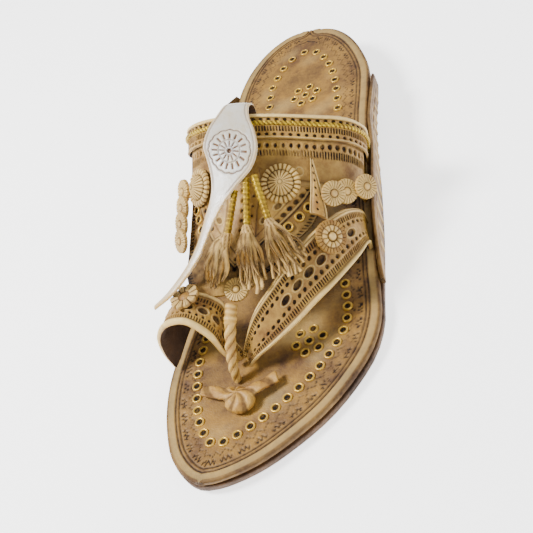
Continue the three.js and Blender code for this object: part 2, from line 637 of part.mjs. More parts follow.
// Centre the shoe on its own bounding box and stand it on z = 0.
const finished = pieces.map(({ name, geometry, material }) => {
  const bare = mergeVertices(positionOnly(geometry), 1e-4);
  bare.computeBoundingBox();
  return { name, bare, material };
});
const bounds = finished.reduce((box, { bare }) => box.union(bare.boundingBox), new THREE.Box3());
const middle = bounds.getCenter(new THREE.Vector3());

const group = new THREE.Group();
group.name = 'tasselled_toe_loop_sandal';
finished.forEach(({ name, bare, material }) => {
  bare.translate(-middle.x, -middle.y, -bounds.min.z);
  bare.computeVertexNormals();
  const mesh = new THREE.Mesh(bare, new THREE.MeshStandardMaterial(MATERIALS[material]));
  mesh.name = name;
  group.add(mesh);
});

export default group;
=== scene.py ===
"""Tasselled toe-loop sandal, left foot: leather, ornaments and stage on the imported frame."""
import math
import random

import bpy
import numpy as np
from bpy.props import FloatProperty, FloatVectorProperty, PointerProperty
from mathutils import Matrix, Vector
from mathutils.bvhtree import BVHTree


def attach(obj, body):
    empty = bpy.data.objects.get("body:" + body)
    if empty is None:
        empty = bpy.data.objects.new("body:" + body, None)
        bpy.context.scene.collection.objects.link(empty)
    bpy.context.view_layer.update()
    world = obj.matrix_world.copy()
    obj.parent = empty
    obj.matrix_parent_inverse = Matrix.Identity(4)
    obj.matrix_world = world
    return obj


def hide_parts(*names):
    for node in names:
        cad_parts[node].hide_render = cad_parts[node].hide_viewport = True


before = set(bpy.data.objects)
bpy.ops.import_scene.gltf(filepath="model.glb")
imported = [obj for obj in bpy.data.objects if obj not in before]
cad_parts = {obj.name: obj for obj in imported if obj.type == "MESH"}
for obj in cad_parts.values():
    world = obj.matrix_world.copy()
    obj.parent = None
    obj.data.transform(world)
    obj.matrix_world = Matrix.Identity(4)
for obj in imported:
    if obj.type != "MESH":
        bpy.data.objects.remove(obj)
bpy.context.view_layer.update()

bl_info = {
    "name": "Tasselled Toe-Loop Sandal",
    "version": (1, 0, 0),
    "blender": (4, 5, 0),
    "location": "3D View > Sidebar > Sandal",
    "description": "Builds a hand-made leather sandal on its packed frame",
    "category": "Object",
}

# ------------------------------------------------------------------ main sizes, in millimetres
LAST = np.array([-14.4913, 0.2, 7.2])   # the footbed under the ball, from the frame's origin
SOLE_HALF = 139.9
TOP_SOLE = 3.6
WALL = 2.2
OVERLAY = 1.3
GAP = 0.3
HEEL_RISE = 14.5
TOE_SPRING = 3.0
LONG_STITCH = 3.6                       # spacing of the punched holes
FINE_CUT = 1.35                         # spacing of the fine cuts
COLLAR_WIDE = 14.8                      # the collar overlay's tooling is laid out over this width
COLLAR_CHANNEL = 6.1                    # middle of the gold cord's channel, from the heel edge
COLLAR_REACH = 0.46                     # share of the band's width under the collar overlay
STRAP_WIDE = 24                         # the same for the outer strap
LOOP_WIDE = 20                          # and for the toe loop

# Camera and bevel, in metres; the lens in millimetres and the roll in degrees.
EYE = (0.17274, -0.27393, 0.29876)
AIM = (-0.00419, -0.03271, 0.01548)
ROLL = 31.118
LENS = 59.44
EDGE_BEVEL = 0.0004

# Sole outline from toe to heel: y, big-toe side, little-toe side.
OUTLINE = np.array([
    [-140, 2.0, 5.0], [-138.6, -2.0, 11.0], [-135, -7.6, 18.6], [-129, -13.8, 27.6],
    [-121, -18.8, 36.4], [-106, -25.0, 49.8], [-91, -28.0, 59.2], [-74, -28.6, 66.0],
    [-58, -27.6, 67.4], [-45, -26.0, 65.2], [-30, -24.4, 62.0], [0, -22.8, 57.2],
    [30, -24.8, 52.2], [60, -30.2, 47.0], [80, -33.4, 44.6], [97, -33.8, 41.6],
    [113, -31.0, 35.0], [127, -24.6, 26.0], [136, -16.4, 16.6], [139.2, -10.4, 9.8],
    [140, -6.0, 5.0],
])

# Instep band, big-toe side to little-toe side; each row runs from heel edge to toe edge.
BAND = [
    [[-22.8, 46, 15.0], [-21.6, 27, 13.6], [-20.8, 2, 8.8]],
    [[-26.0, 40, 26], [-24.6, 22, 24.4], [-23.0, -2, 21]],
    [[-27.8, 29.4, 38.8], [-26.4, 14, 36.2], [-24.2, -8, 32.0]],
    [[-23.8, 18.6, 52.6], [-22.6, 5.8, 47.2], [-20.4, -13, 39.8]],
    [[-11.0, 9.6, 64.4], [-10.0, -1.2, 57.4], [-8.4, -17.6, 48.0]],
    [[8, 6.4, 67.8], [9, -4, 60.8], [10, -20, 49.6]],
    [[25, 6.4, 65.6], [26, -3.4, 58.4], [28, -19.4, 46.2]],
    [[43.0, 9.3, 58.8], [43.2, -0.4, 51.2], [44.0, -16.8, 38.2]],
    [[54.2, 14.6, 50.4], [53.8, 4.6, 42.8], [52.6, -12.4, 30.2]],
    [[57.4, 21, 38.4], [57.4, 10.4, 31.4], [56.6, -7.2, 22.6]],
    [[52.2, 29, 22.6], [54.0, 17, 19.6], [56.2, -3, 15.4]],
    [[50.2, 33, 14.6], [52.2, 20, 12.6], [54.8, 1, 8.8]],
]
# Where the vamp's five rails leave the band, little-toe side first.
VAMP_RAILS = [0.66, 0.57, 0.47, 0.38, 0.29]
# Vamp in front of the band, little-toe side to big-toe side, row by row towards the toe.
VAMP = [
    [[43, -28, 31.4], [27, -30, 39.6], [12, -30, 43], [-4, -29, 42], [-19, -27, 36]],
    [[33.4, -41, 30], [23, -42, 34], [11, -42, 36.8], [-4, -42, 36.6], [-17.4, -42, 32.4]],
    [[24.6, -52, 28], [17, -52.6, 29.8], [9, -53, 31.2], [-3.6, -55, 33.4], [-14, -56, 32]],
    [[14.6, -62, 25.6], [11, -62.8, 26.4], [7.6, -63.4, 27.2], [1.6, -65, 29], [-7, -66, 32.6]],
]
# Outer strap from the waist to the thong; each row runs from toe edge to heel edge.
OUTER_STRAP = [
    [[59.2, -23.5, 3.6], [57.0, -15.5, 5.4], [55.6, -8.4, 7.2]],
    [[60.2, -25, 9.6], [58.2, -18.5, 13.6], [56.6, -11.5, 18]],
    [[58.2, -35.5, 12.6], [55.8, -29, 21.9], [53.0, -22.5, 30]],
    [[51, -52, 15.2], [46.5, -46, 25.4], [42.6, -39, 33.8]],
    [[44.6, -62, 15.8], [39.4, -56, 24.8], [34.8, -50.4, 32.2]],
    [[38, -72, 15.8], [33, -66.2, 23.2], [28.4, -61.6, 30]],
    [[28.2, -80.6, 13.4], [24.6, -76.4, 19], [20.6, -72.2, 25]],
    [[18.8, -84.6, 8.6], [16.8, -80.8, 12], [14.2, -77.6, 15.4]],
    [[13.2, -85.4, 3.4], [11.0, -82.6, 4.0], [8.6, -80.4, 4.6]],
]
# Toe loop from the thong over the big toe and down its side; rows run from toe edge back.
TOE_LOOP = [
    [[6.0, -84.0, 3.2], [8.2, -81.6, 3.3], [10.4, -79.2, 3.4]],
    [[3.8, -84.2, 12.8], [4.2, -78.6, 13.6], [4.6, -73, 14.0]],
    [[1.6, -83.6, 24.6], [2.8, -74, 24.2], [4.0, -65, 24.4]],
    [[-5.8, -82.4, 33.4], [-6.6, -72.8, 32.4], [-6.6, -64, 31.8]],
    [[-17.6, -81.6, 30.6], [-17.6, -72, 30], [-16.6, -63.4, 29.2]],
    [[-25.6, -82.2, 21.4], [-25.2, -71, 21], [-23.2, -60, 20.2]],
    [[-27.4, -83.6, 10.8], [-27.2, -67.5, 10.6], [-25.0, -52, 9.6]],
    [[-25.4, -85.2, 3.2], [-25.4, -65, 3.3], [-23.8, -45, 3.4]],
]
# Tongue: centre x, y, z, half width, and how far its big-toe edge stands above its middle.
TONGUE = [
    [12.4, -3, 55.6, 5.6, 0], [12.4, 5, 59.6, 5.6, 0], [12.4, 10.6, 63.6, 5.6, 0.2],
    [12.4, 11.8, 69.0, 5.6, 0.6], [12.4, 7.6, 72.6, 5.8, 1.0], [12.4, 0.5, 72.8, 7.4, 1.6],
    [12.7, -7, 71.2, 10.6, 2.2], [13, -15, 68.0, 12.4, 2.4], [12.4, -20.6, 64.8, 11.2, 2.2],
    [10.2, -26.8, 61.2, 7.4, 1.4], [7.4, -33, 57.2, 4.4, 0.8], [2.8, -41.4, 51.8, 2.9, 0.4],
    [-4, -54, 43.6, 2.3, 0.2], [-15.4, -67, 36.8, 2.0, 0], [-25.7, -71.6, 31.6, 1.3, 0],
]
# Side flaps: y, top of the little-toe side, top of the big-toe side, lean of each at the top.
FLAPS = np.array([
    [-38, 0.6, 0.6, 0, 0], [-26, 7.2, 7.2, 0.2, 0.2], [-14, 14.0, 14.0, 0.4, 0.4],
    [-3, 18.8, 19.0, 1.0, 0.6], [8, 21.2, 21.4, 1.8, 1.2], [22, 21.2, 22.4, 2.0, 1.8],
    [36, 20.0, 22.6, 1.4, 2.4], [52, 18.4, 22.0, 0, 3.8], [66, 17.2, 20.6, 0, 4.2],
    [78, 16.4, 18.4, 0, 3.2], [90, 14.4, 14.4, 0, 0.4],
])


# ------------------------------------------------------------------ small maths
def smooth(t):
    """Smooth step from 0 to 1."""
    c = np.clip(t, 0.0, 1.0)
    return c * c * (3 - 2 * c)


def bell(x, centre, width):
    """Soft bump of height 1."""
    return np.exp(-((x - centre) / width) ** 2)


def block(x, low, high, soft=0.25):
    """1 between low and high with soft shoulders."""
    return smooth((x - low) / soft + 0.5) * smooth((high - x) / soft + 0.5)


def saw(x, pitch):
    """Distance from the nearest point of a regular row."""
    return np.abs((x / pitch) - np.round(x / pitch)) * pitch


def arch(x, centre, half):
    """Round bump of height 1 that reaches half to each side."""
    return np.sqrt(np.clip(1 - ((x - centre) / half) ** 2, 0, 1))


def within(far, radius, soft=0.45):
    """1 where the distance far is less than radius, with a soft edge."""
    return smooth((radius - far) / soft + 0.5)


def holes(s, t, row, pitch, radius, shift=0.0):
    """Row of round holes along s at height row: 1 inside each."""
    return within(np.hypot(saw(s + shift, pitch), t - row), radius)


def slits(s, t, low, high, pitch, width):
    """Row of fine cuts lying across the strap between low and high."""
    return block(t, low, high, 0.4) * within(saw(s, pitch), width, 0.3)


def uneven(points, size, seed=0.0):
    """Slow hand-made unevenness, about -1 to 1, over points in millimetres."""
    x, y, z = points[:, 0] / size, points[:, 1] / size, points[:, 2] / size
    wave = np.sin(x * 1.7 + y * 2.3 + seed) + np.sin(y * 1.9 - z * 2.1 + seed * 2.0)
    return (wave + np.sin(z * 2.6 + x * 1.3 - seed) + np.sin((x - y) * 3.1 + seed * 3.0)) / 4


def unit(vector):
    return vector / np.linalg.norm(vector)


def run_of(points):
    """Distance along a line of points, from 0 at the first."""
    return np.concatenate([[0], np.cumsum(np.linalg.norm(np.diff(points, axis=0), axis=1))])


def two_faced(v, turn):
    """Whether v is on the outer face, and how far across it lies, there or on the way back."""
    front = v <= turn + 1e-9
    return front, np.where(front, v / turn, 1 - (v - turn) / (1 - turn))


def curve_at(points, t):
    """Centripetal curve read at each t. Points are (n, 3), or one such row for every t."""
    first = 2 * points[..., :1, :] - points[..., 1:2, :]
    last = 2 * points[..., -1:, :] - points[..., -2:-1, :]
    full = np.concatenate([first, points, last], axis=-2)
    count = points.shape[-2]
    place = np.clip(t, 0, 1) * (count - 1)
    start = np.minimum(place.astype(int), count - 2)
    w = (place - start)[:, None]
    each = np.arange(len(t))
    p = [full[start + k] if points.ndim == 2 else full[each, start + k] for k in range(4)]
    gap = [np.maximum(np.linalg.norm(p[k + 1] - p[k], axis=1)[:, None] ** 0.5, 1e-4) for k in range(3)]
    m1 = (p[1] - p[0]) / gap[0] - (p[2] - p[0]) / (gap[0] + gap[1]) + (p[2] - p[1]) / gap[1]
    m2 = (p[2] - p[1]) / gap[1] - (p[3] - p[1]) / (gap[1] + gap[2]) + (p[3] - p[2]) / gap[2]
    m1, m2 = m1 * gap[1], m2 * gap[1]
    a = 2 * p[1] - 2 * p[2] + m1 + m2
    b = -3 * p[1] + 3 * p[2] - 2 * m1 - m2
    return ((a * w + b) * w + m1) * w + p[1]


class Leather:
    """Outer face of a piece of leather through rows of points, read at (u, v)."""

    def __init__(self, rows):
        self.rows = np.array(rows, float)
        steps = np.linspace(0, 1, 201)
        self.u_steps = steps
        self.run = run_of(self.bare(steps, np.full(201, 0.5)))
        inner = np.linspace(0, 1, 25)
        self.width = np.array([
            np.linalg.norm(np.diff(self.bare(np.full(25, u), inner), axis=0), axis=1).sum() for u in steps
        ])
        self.length = self.run[-1]

    def bare(self, u, v):
        """Places on the face."""
        rails = [curve_at(self.rows[:, k], u) for k in range(self.rows.shape[1])]
        return curve_at(np.stack(rails, axis=1), v)

    def normal(self, u, v):
        e = 0.01
        du = self.bare(np.minimum(1, u + e), v) - self.bare(np.maximum(0, u - e), v)
        dv = self.bare(u, np.minimum(1, v + e)) - self.bare(u, np.maximum(0, v - e))
        n = np.cross(dv, du)
        return n / np.maximum(np.linalg.norm(n, axis=1)[:, None], 1e-9)

    def at(self, u, v, out=0.0):
        """Places that stand out from the face."""
        return self.bare(u, v) + self.normal(u, v) * np.broadcast_to(out, np.shape(u))[:, None]

    def along(self, u):
        return np.interp(u, self.u_steps, self.run)

    def across(self, u, v):
        return np.interp(u, self.u_steps, self.width) * v

    def spot(self, u, v, out=0.0):
        """One place on the face and its outward direction."""
        uu, vv = np.array([float(u)]), np.array([float(v)])
        return self.at(uu, vv, out)[0], self.normal(uu, vv)[0]


def side_reader(column):
    """Reader of one side of the sole outline: x for each y."""
    points = np.stack([OUTLINE[:, column], OUTLINE[:, 0], np.zeros(len(OUTLINE))], axis=1)
    fine = curve_at(points, np.linspace(0, 1, 501))
    return lambda y: np.interp(y, fine[:, 1], fine[:, 0])


medial_x = side_reader(1)
lateral_x = side_reader(2)


def footbed_z(y):
    """Height of the footbed: flat at the ball, up to the heel and up to the toe."""
    return HEEL_RISE * smooth((y + 50) / 105) + TOE_SPRING * np.clip((-100 - y) / 40, 0, 1) ** 2


def to_frame(points):
    """Metres in the frame, from millimetres measured from the footbed under the ball."""
    return (np.asarray(points, float) + LAST) / 1000.0


def to_last(points):
    """Millimetres from the footbed under the ball, from metres in the frame."""
    return np.asarray(points, float) * 1000.0 - LAST


# ------------------------------------------------------------------ modelling
def deselect_all():
    if bpy.context.mode != "OBJECT":
        bpy.ops.object.mode_set(mode="OBJECT")
    bpy.ops.object.select_all(action="DESELECT")


def select_only(*pieces):
    deselect_all()
    for piece in pieces:
        piece.select_set(True)
    bpy.context.view_layer.objects.active = pieces[0]


def vertex_places(mesh):
    """Places of a mesh's vertices, in metres."""
    co = np.empty(len(mesh.vertices) * 3)
    mesh.vertices.foreach_get("co", co)
    return co.reshape(-1, 3)


def applied(piece, kind, **settings):
    """Put a modifier on the active piece and apply it."""
    modifier = piece.modifiers.new(kind.title(), kind)
    for key, value in settings.items():
        setattr(modifier, key, value)
    bpy.ops.object.modifier_apply(modifier=modifier.name)


def close_up(piece, angle):
    """Merge the rolled seam, close open ends and turn all faces outwards."""
    select_only(piece)
    bpy.ops.object.mode_set(mode="EDIT")
    bpy.ops.mesh.select_mode(type="VERT")
    bpy.ops.mesh.select_all(action="SELECT")
    bpy.ops.mesh.remove_doubles(threshold=2e-6)
    bpy.ops.mesh.select_all(action="DESELECT")
    bpy.ops.mesh.select_non_manifold(extend=False)
    bpy.ops.mesh.fill_holes(sides=0)
    bpy.ops.mesh.select_all(action="SELECT")
    bpy.ops.mesh.normals_make_consistent(inside=False)
    bpy.ops.object.mode_set(mode="OBJECT")
    bpy.ops.object.shade_smooth_by_angle(angle=math.radians(angle))


def rolled(name, nu, nv, shape, kinds, inner_from=2.0, angle=55):
    """A grid primitive rolled and bent into a closed piece.

    shape(u, v) gives its points and map coordinates in millimetres, its mask of tooling and painted shade,
    and its rubbed mask.
    Faces past inner_from across the grid take the second kind of finish."""
    deselect_all()
    bpy.ops.mesh.primitive_grid_add(x_subdivisions=nu, y_subdivisions=nv, size=1.0, location=(0, 0, 0))
    piece = bpy.context.object
    piece.name = name
    mesh = piece.data
    mesh.name = name
    for kind in kinds:
        mesh.materials.append(finish_of(kind))
    grid = vertex_places(mesh)
    u, v = grid[:, 0] + 0.5, grid[:, 1] + 0.5
    points, flat, *masks = shape(u, v)
    corners = np.empty(len(mesh.loops), dtype=np.int32)
    mesh.loops.foreach_get("vertex_index", corners)
    inner = v[corners].reshape(-1, 4).mean(axis=1) > inner_from
    mesh.polygons.foreach_set("material_index", inner.astype(np.int32))
    mesh.vertices.foreach_set("co", to_frame(points).ravel())
    mesh.uv_layers[0].data.foreach_set("uv", (flat / 1000.0)[corners].ravel())
    for label, mask in zip(("punched", "rubbed"), masks):
        layer = mesh.attributes.new(label, "FLOAT", "POINT")
        layer.data.foreach_set("value", np.clip(mask, 0, 1).astype(np.float32))
    mesh.update()
    close_up(piece, angle)
    return piece


def leather_piece(name, face, nu, nv, detail, kind="pale", wall=WALL, back=8):
    """A strap of leather with rounded edges: its outer face is tooled, its back is plain lining.

    detail(s, t, width, u, across) gives the height of the tooling, its mask of tooling and painted shade, and
    its rubbed mask."""
    total = nv + back
    turn = nv / total
    half = wall / 2

    def shape(u, v):
        front, across = two_faced(v, turn)
        s, t = face.along(u), face.across(u, across)
        width = np.interp(u, face.u_steps, face.width)
        edge = np.minimum(t, width - t)
        ends = np.minimum(s, face.length - s)
        near = np.clip(np.minimum(edge, ends + half * 0.4) / half, 0, 1)
        swell = half * arch(near, 1, 1)
        tooling, punched, rubbed = detail(s, t, width, u, across)
        height = tooling * np.clip(edge / 0.8, 0, 1)
        points = face.at(u, across, -half + np.where(front, swell + height, -swell))
        return points, np.stack([s, t], axis=1), np.where(front, punched, 0), np.where(front, rubbed, 0)

    return rolled(name, nu, total, shape, [kind, "lining"], inner_from=turn)


def tube(name, path, radius, sides, steps, kind, section):
    """A rod along a path.

    section(s, a) scales its radius and gives its masks: s in millimetres along it, a round it."""
    t = np.linspace(0, 1, steps + 1)
    centre = curve_at(np.array(path, float), t)
    run = run_of(centre)
    tangent = np.gradient(centre, axis=0)
    tangent /= np.linalg.norm(tangent, axis=1)[:, None]
    side = np.zeros_like(tangent)
    side[0] = unit(np.cross(tangent[0], [0.13, 0.21, 1.0]))
    for k in range(1, len(t)):
        side[k] = unit(side[k - 1] - tangent[k] * np.dot(side[k - 1], tangent[k]))
    up = np.cross(tangent, side)
    given = np.atleast_1d(radius)
    radii = np.interp(t, np.linspace(0, 1, len(given)), given)

    def shape(u, v):
        k = np.rint(u * steps).astype(int)
        a = 2 * np.pi * v
        s = run[k]
        scale, punched, rubbed = section(s, a)
        r = radii[k] * scale
        offset = side[k] * (r * np.cos(a))[:, None] + up[k] * (r * np.sin(a))[:, None]
        return centre[k] + offset, np.stack([s, a * radii[k]], axis=1), punched, rubbed

    return rolled(name, steps, sides, shape, [kind], angle=60)


def disc(name, seat, radius, sides, rings, kind, face):
    """A round ornament on a seat. face(r, a) gives its height, edge and masks; r runs 0 to 1."""
    centre, normal = seat
    normal = unit(normal)
    first = unit(np.cross(normal, [0.0, 0.3, 1.0]))
    second = np.cross(normal, first)
    total = rings + 3

    def shape(u, v):
        a = 2 * np.pi * u
        front, r = two_faced(v, rings / total)
        rise, edge, punched, rubbed = face(np.clip(r, 0, 1), a)
        reach = radius * r * edge
        height = np.where(front, np.where(r > 0.995, rise * 0.45, rise), 0)
        flat = first * (reach * np.cos(a))[:, None] + second * (reach * np.sin(a))[:, None]
        points = centre + flat + normal * height[:, None]
        around = np.stack([a * radius, reach], axis=1)
        return points, around, np.where(front, punched, 0), np.where(front, rubbed, 0)

    return rolled(name, sides, total, shape, [kind], angle=60)


def seat_of(node):
    """Base centre and outward direction of a round piece of the frame, in millimetres."""
    points = to_last(vertex_places(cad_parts[node].data))
    middle = (points.min(axis=0) + points.max(axis=0)) / 2
    corners = np.unique(points.round(3), axis=0)
    spread = corners - corners.mean(axis=0)
    axis = np.linalg.eigh(spread.T @ spread)[1][:, 0]
    if axis[2] < 0:
        axis = -axis
    rise = np.dot(corners - middle, axis)
    return corners[rise < rise.min() + 0.3].mean(axis=0), axis


def copied(name, node, kind, angle=35, changes=()):
    """A merged, smoothly shaded copy of a piece of the frame, after any changes by modifiers."""
    deselect_all()
    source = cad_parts[node]
    piece = source.copy()
    piece.data = source.data.copy()
    bpy.context.collection.objects.link(piece)
    piece.hide_render = False
    piece.hide_viewport = False
    piece.parent = None
    for key in list(piece.keys()):
        del piece[key]
    piece.matrix_world = Matrix.Identity(4)
    piece.name = name
    piece.data.name = name
    piece.data.materials.clear()
    piece.data.materials.append(finish_of(kind))
    select_only(piece)
    bpy.ops.object.mode_set(mode="EDIT")
    bpy.ops.mesh.select_all(action="SELECT")
    bpy.ops.mesh.remove_doubles(threshold=1e-6)
    bpy.ops.object.mode_set(mode="OBJECT")
    for change, settings in changes:
        applied(piece, change, **settings)
    bpy.ops.object.shade_smooth_by_angle(angle=math.radians(angle))
    return piece


def placed(piece, slot, *nodes):
    """Fix a finished piece to the shoe and hide the pieces of the frame that it stands for; slot is not used.
    """
    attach(piece, "root")
    if nodes:
        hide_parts(*nodes)
    return piece


def joined(pieces, name):
    select_only(*pieces)
    bpy.ops.object.join()
    whole = bpy.context.object
    whole.name = name
    whole.data.name = name
    return whole


def duplicate(piece, name):
    select_only(piece)
    bpy.ops.object.duplicate(linked=False)
    twin = bpy.context.object
    twin.name = name
    twin.data.name = name
    return twin


# ------------------------------------------------------------------ finishes
def linear(red, green, blue):
    """A colour given as 0 to 255 screen values, in linear light."""
    return tuple(
        (c / 255) / 12.92 if c < 10.3 else ((c / 255 + 0.055) / 1.055) ** 2.4 for c in (red, green, blue))


def set_inputs(node, values):
    for key, value in values.items():
        node.inputs[key].default_value = value


def add_node(tree, kind, x, y, values=None, **settings):
    """A shader node at a place, with its settings and then the values of its inputs."""
    node = tree.nodes.new(kind)
    node.location = (x, y)
    for key, value in settings.items():
        setattr(node, key, value)
    set_inputs(node, values or {})
    return node


def mix_colour(tree, factor, first, second, x, y):
    """A colour mix; first and second are sockets or plain colours."""
    node = add_node(tree, "ShaderNodeMix", x, y, data_type="RGBA")
    tree.links.new(factor, node.inputs[0])
    for value, socket in ((first, node.inputs[6]), (second, node.inputs[7])):
        if isinstance(value, tuple):
            socket.default_value = (*value[:3], 1.0)
        else:
            tree.links.new(value, socket)
    return node.outputs[2]


def sum_of(tree, kind, first, second, x, y):
    """A node of plain arithmetic; first and second are sockets or numbers."""
    node = add_node(tree, "ShaderNodeMath", x, y, operation=kind)
    for value, socket in ((first, node.inputs[0]), (second, node.inputs[1])):
        if isinstance(value, (int, float)):
            socket.default_value = value
        else:
            tree.links.new(value, socket)
    return node.outputs[0]


def new_group(name, inputs, outputs):
    group = bpy.data.node_groups.new(name, "ShaderNodeTree")
    for label, value in inputs:
        socket = group.interface.new_socket(label, in_out="INPUT", socket_type="NodeSocketFloat")
        socket.default_value = value
    for label in outputs:
        group.interface.new_socket(label, in_out="OUTPUT", socket_type="NodeSocketFloat")
    return group, add_node(group, "NodeGroupInput", -900, 0), add_node(group, "NodeGroupOutput", 500, 0)


def grain_group():
    """Leather grain: slow tone of the hide, and the height of its pores and creases."""
    found = bpy.data.node_groups.get("Leather grain")
    if found:
        return found
    group, given, result = new_group(
        "Leather grain", [("Pores", 1700.0), ("Blotches", 70.0), ("Creases", 0.5)], ["Tone", "Height"],
    )
    place = add_node(group, "ShaderNodeTexCoord", -900, 300)
    slow = add_node(group, "ShaderNodeTexNoise", -600, 300, {"Detail": 4.0, "Roughness": 0.62})
    fine = add_node(group, "ShaderNodeTexNoise", -600, 0, {"Detail": 3.0})
    cells = add_node(group, "ShaderNodeTexVoronoi", -600, -300, feature="SMOOTH_F1")
    for node in (slow, fine, cells):
        group.links.new(place.outputs["Object"], node.inputs["Vector"])
    group.links.new(given.outputs["Blotches"], slow.inputs["Scale"])
    group.links.new(given.outputs["Pores"], cells.inputs["Scale"])
    group.links.new(sum_of(group, "MULTIPLY", given.outputs["Pores"], 0.35, -760, 0), fine.inputs["Scale"])
    soft = add_node(group, "ShaderNodeMapRange", -350, 300, {"From Min": 0.38, "From Max": 0.66})
    group.links.new(slow.outputs[0], soft.inputs["Value"])
    fleck = sum_of(group, "MULTIPLY", fine.outputs[0], 0.55, -350, 100)
    both = sum_of(group, "MULTIPLY", soft.outputs["Result"], 0.7, -180, 300)
    group.links.new(sum_of(group, "ADD", both, fleck, 0, 200), result.inputs["Tone"])
    crease = sum_of(group, "MULTIPLY", fine.outputs[0], given.outputs["Creases"], -350, -100)
    height = sum_of(group, "ADD", crease, cells.outputs["Distance"], -100, -200)
    group.links.new(height, result.inputs["Height"])
    return group


def shade_and_wear_group():
    """Hand wear and painted shade: where tooling cuts are dark and shade is painted beside edges, and where
    raised leather is rubbed lighter.
    """
    found = bpy.data.node_groups.get("Tooling and wear")
    if found:
        return found
    group, given, result = new_group("Tooling and wear", [("Breakup", 420.0)], ["Cut", "Worn"])
    place = add_node(group, "ShaderNodeTexCoord", -900, 300)
    spots = add_node(group, "ShaderNodeTexNoise", -600, 200, {"Detail": 3.0})
    group.links.new(place.outputs["Object"], spots.inputs["Vector"])
    group.links.new(given.outputs["Breakup"], spots.inputs["Scale"])
    # This mask holds the tooling and the painted shade beside edges, steps and openings.
    cut = add_node(group, "ShaderNodeAttribute", -600, -50, attribute_name="punched")
    worn = add_node(group, "ShaderNodeAttribute", -600, -300, attribute_name="rubbed")
    uneven_wear = sum_of(group, "ADD", spots.outputs[0], 0.45, -380, 150)
    rub = sum_of(group, "MULTIPLY", worn.outputs["Fac"], uneven_wear, -150, -200)
    deep = sum_of(group, "MULTIPLY", cut.outputs["Fac"], uneven_wear, -150, 0)
    group.links.new(sum_of(group, "MINIMUM", deep, 1.0, 100, 0), result.inputs["Cut"])
    group.links.new(sum_of(group, "MINIMUM", rub, 1.0, 100, -200), result.inputs["Worn"])
    return group


def finish(name, colour, shade, cut, worn, rough, depth, pores=1700.0, blotches=70.0,
           metal=0.0, breakup=420.0, layers=0.0, creases=0.5):
    """A leather, gilt or thread finish with its grain, tooling colour, painted shade and wear."""
    found = bpy.data.materials.get(name)
    if found:
        return found
    material = bpy.data.materials.new(name)
    material.use_nodes = True
    material.diffuse_color = (*colour, 1.0)
    tree = material.node_tree
    shader = tree.nodes["Principled BSDF"]
    shader.location = (500, 0)
    tree.nodes["Material Output"].location = (800, 0)
    given = {"Pores": pores, "Blotches": blotches, "Creases": creases}
    grain = add_node(tree, "ShaderNodeGroup", -900, 200, given, node_tree=grain_group())
    # The second group gives the tooling with painted shade, and the rubbed wear.
    wear = add_node(tree, "ShaderNodeGroup", -900, -200, {"Breakup": breakup}, node_tree=shade_and_wear_group())
    base = mix_colour(tree, grain.outputs["Tone"], colour, shade, -600, 200)
    if layers:
        place = add_node(tree, "ShaderNodeTexCoord", -1200, -500)
        given = {"Scale": layers, "Distortion": 0.6, "Detail": 2.0}
        bands = add_node(tree, "ShaderNodeTexWave", -900, -500, given, bands_direction="Z")
        tree.links.new(place.outputs["Object"], bands.inputs["Vector"])
        seam = sum_of(tree, "POWER", bands.outputs["Fac"], 6.0, -700, -500)
        base = mix_colour(tree, seam, base, cut, -450, 350)
    base = mix_colour(tree, wear.outputs["Worn"], base, worn, -300, 200)
    # The dark colour goes where the mask holds tooling and painted shade.
    base = mix_colour(tree, wear.outputs["Cut"], base, cut, 0, 200)
    tree.links.new(base, shader.inputs["Base Color"])
    gloss = add_node(tree, "ShaderNodeMapRange", 0, -100, {"To Min": rough - 0.1, "To Max": rough + 0.12})
    tree.links.new(grain.outputs["Tone"], gloss.inputs["Value"])
    dull = sum_of(tree, "MULTIPLY", wear.outputs["Cut"], 0.45, 0, -420)
    dull = sum_of(tree, "ADD", dull, gloss.outputs["Result"], 200, -100)
    tree.links.new(sum_of(tree, "MINIMUM", dull, 1.0, 350, -100), shader.inputs["Roughness"])
    bump = add_node(tree, "ShaderNodeBump", 200, -300, {"Strength": depth, "Distance": 0.0004})
    tree.links.new(grain.outputs["Height"], bump.inputs["Height"])
    tree.links.new(bump.outputs["Normal"], shader.inputs["Normal"])
    shader.inputs["Metallic"].default_value = metal
    return material


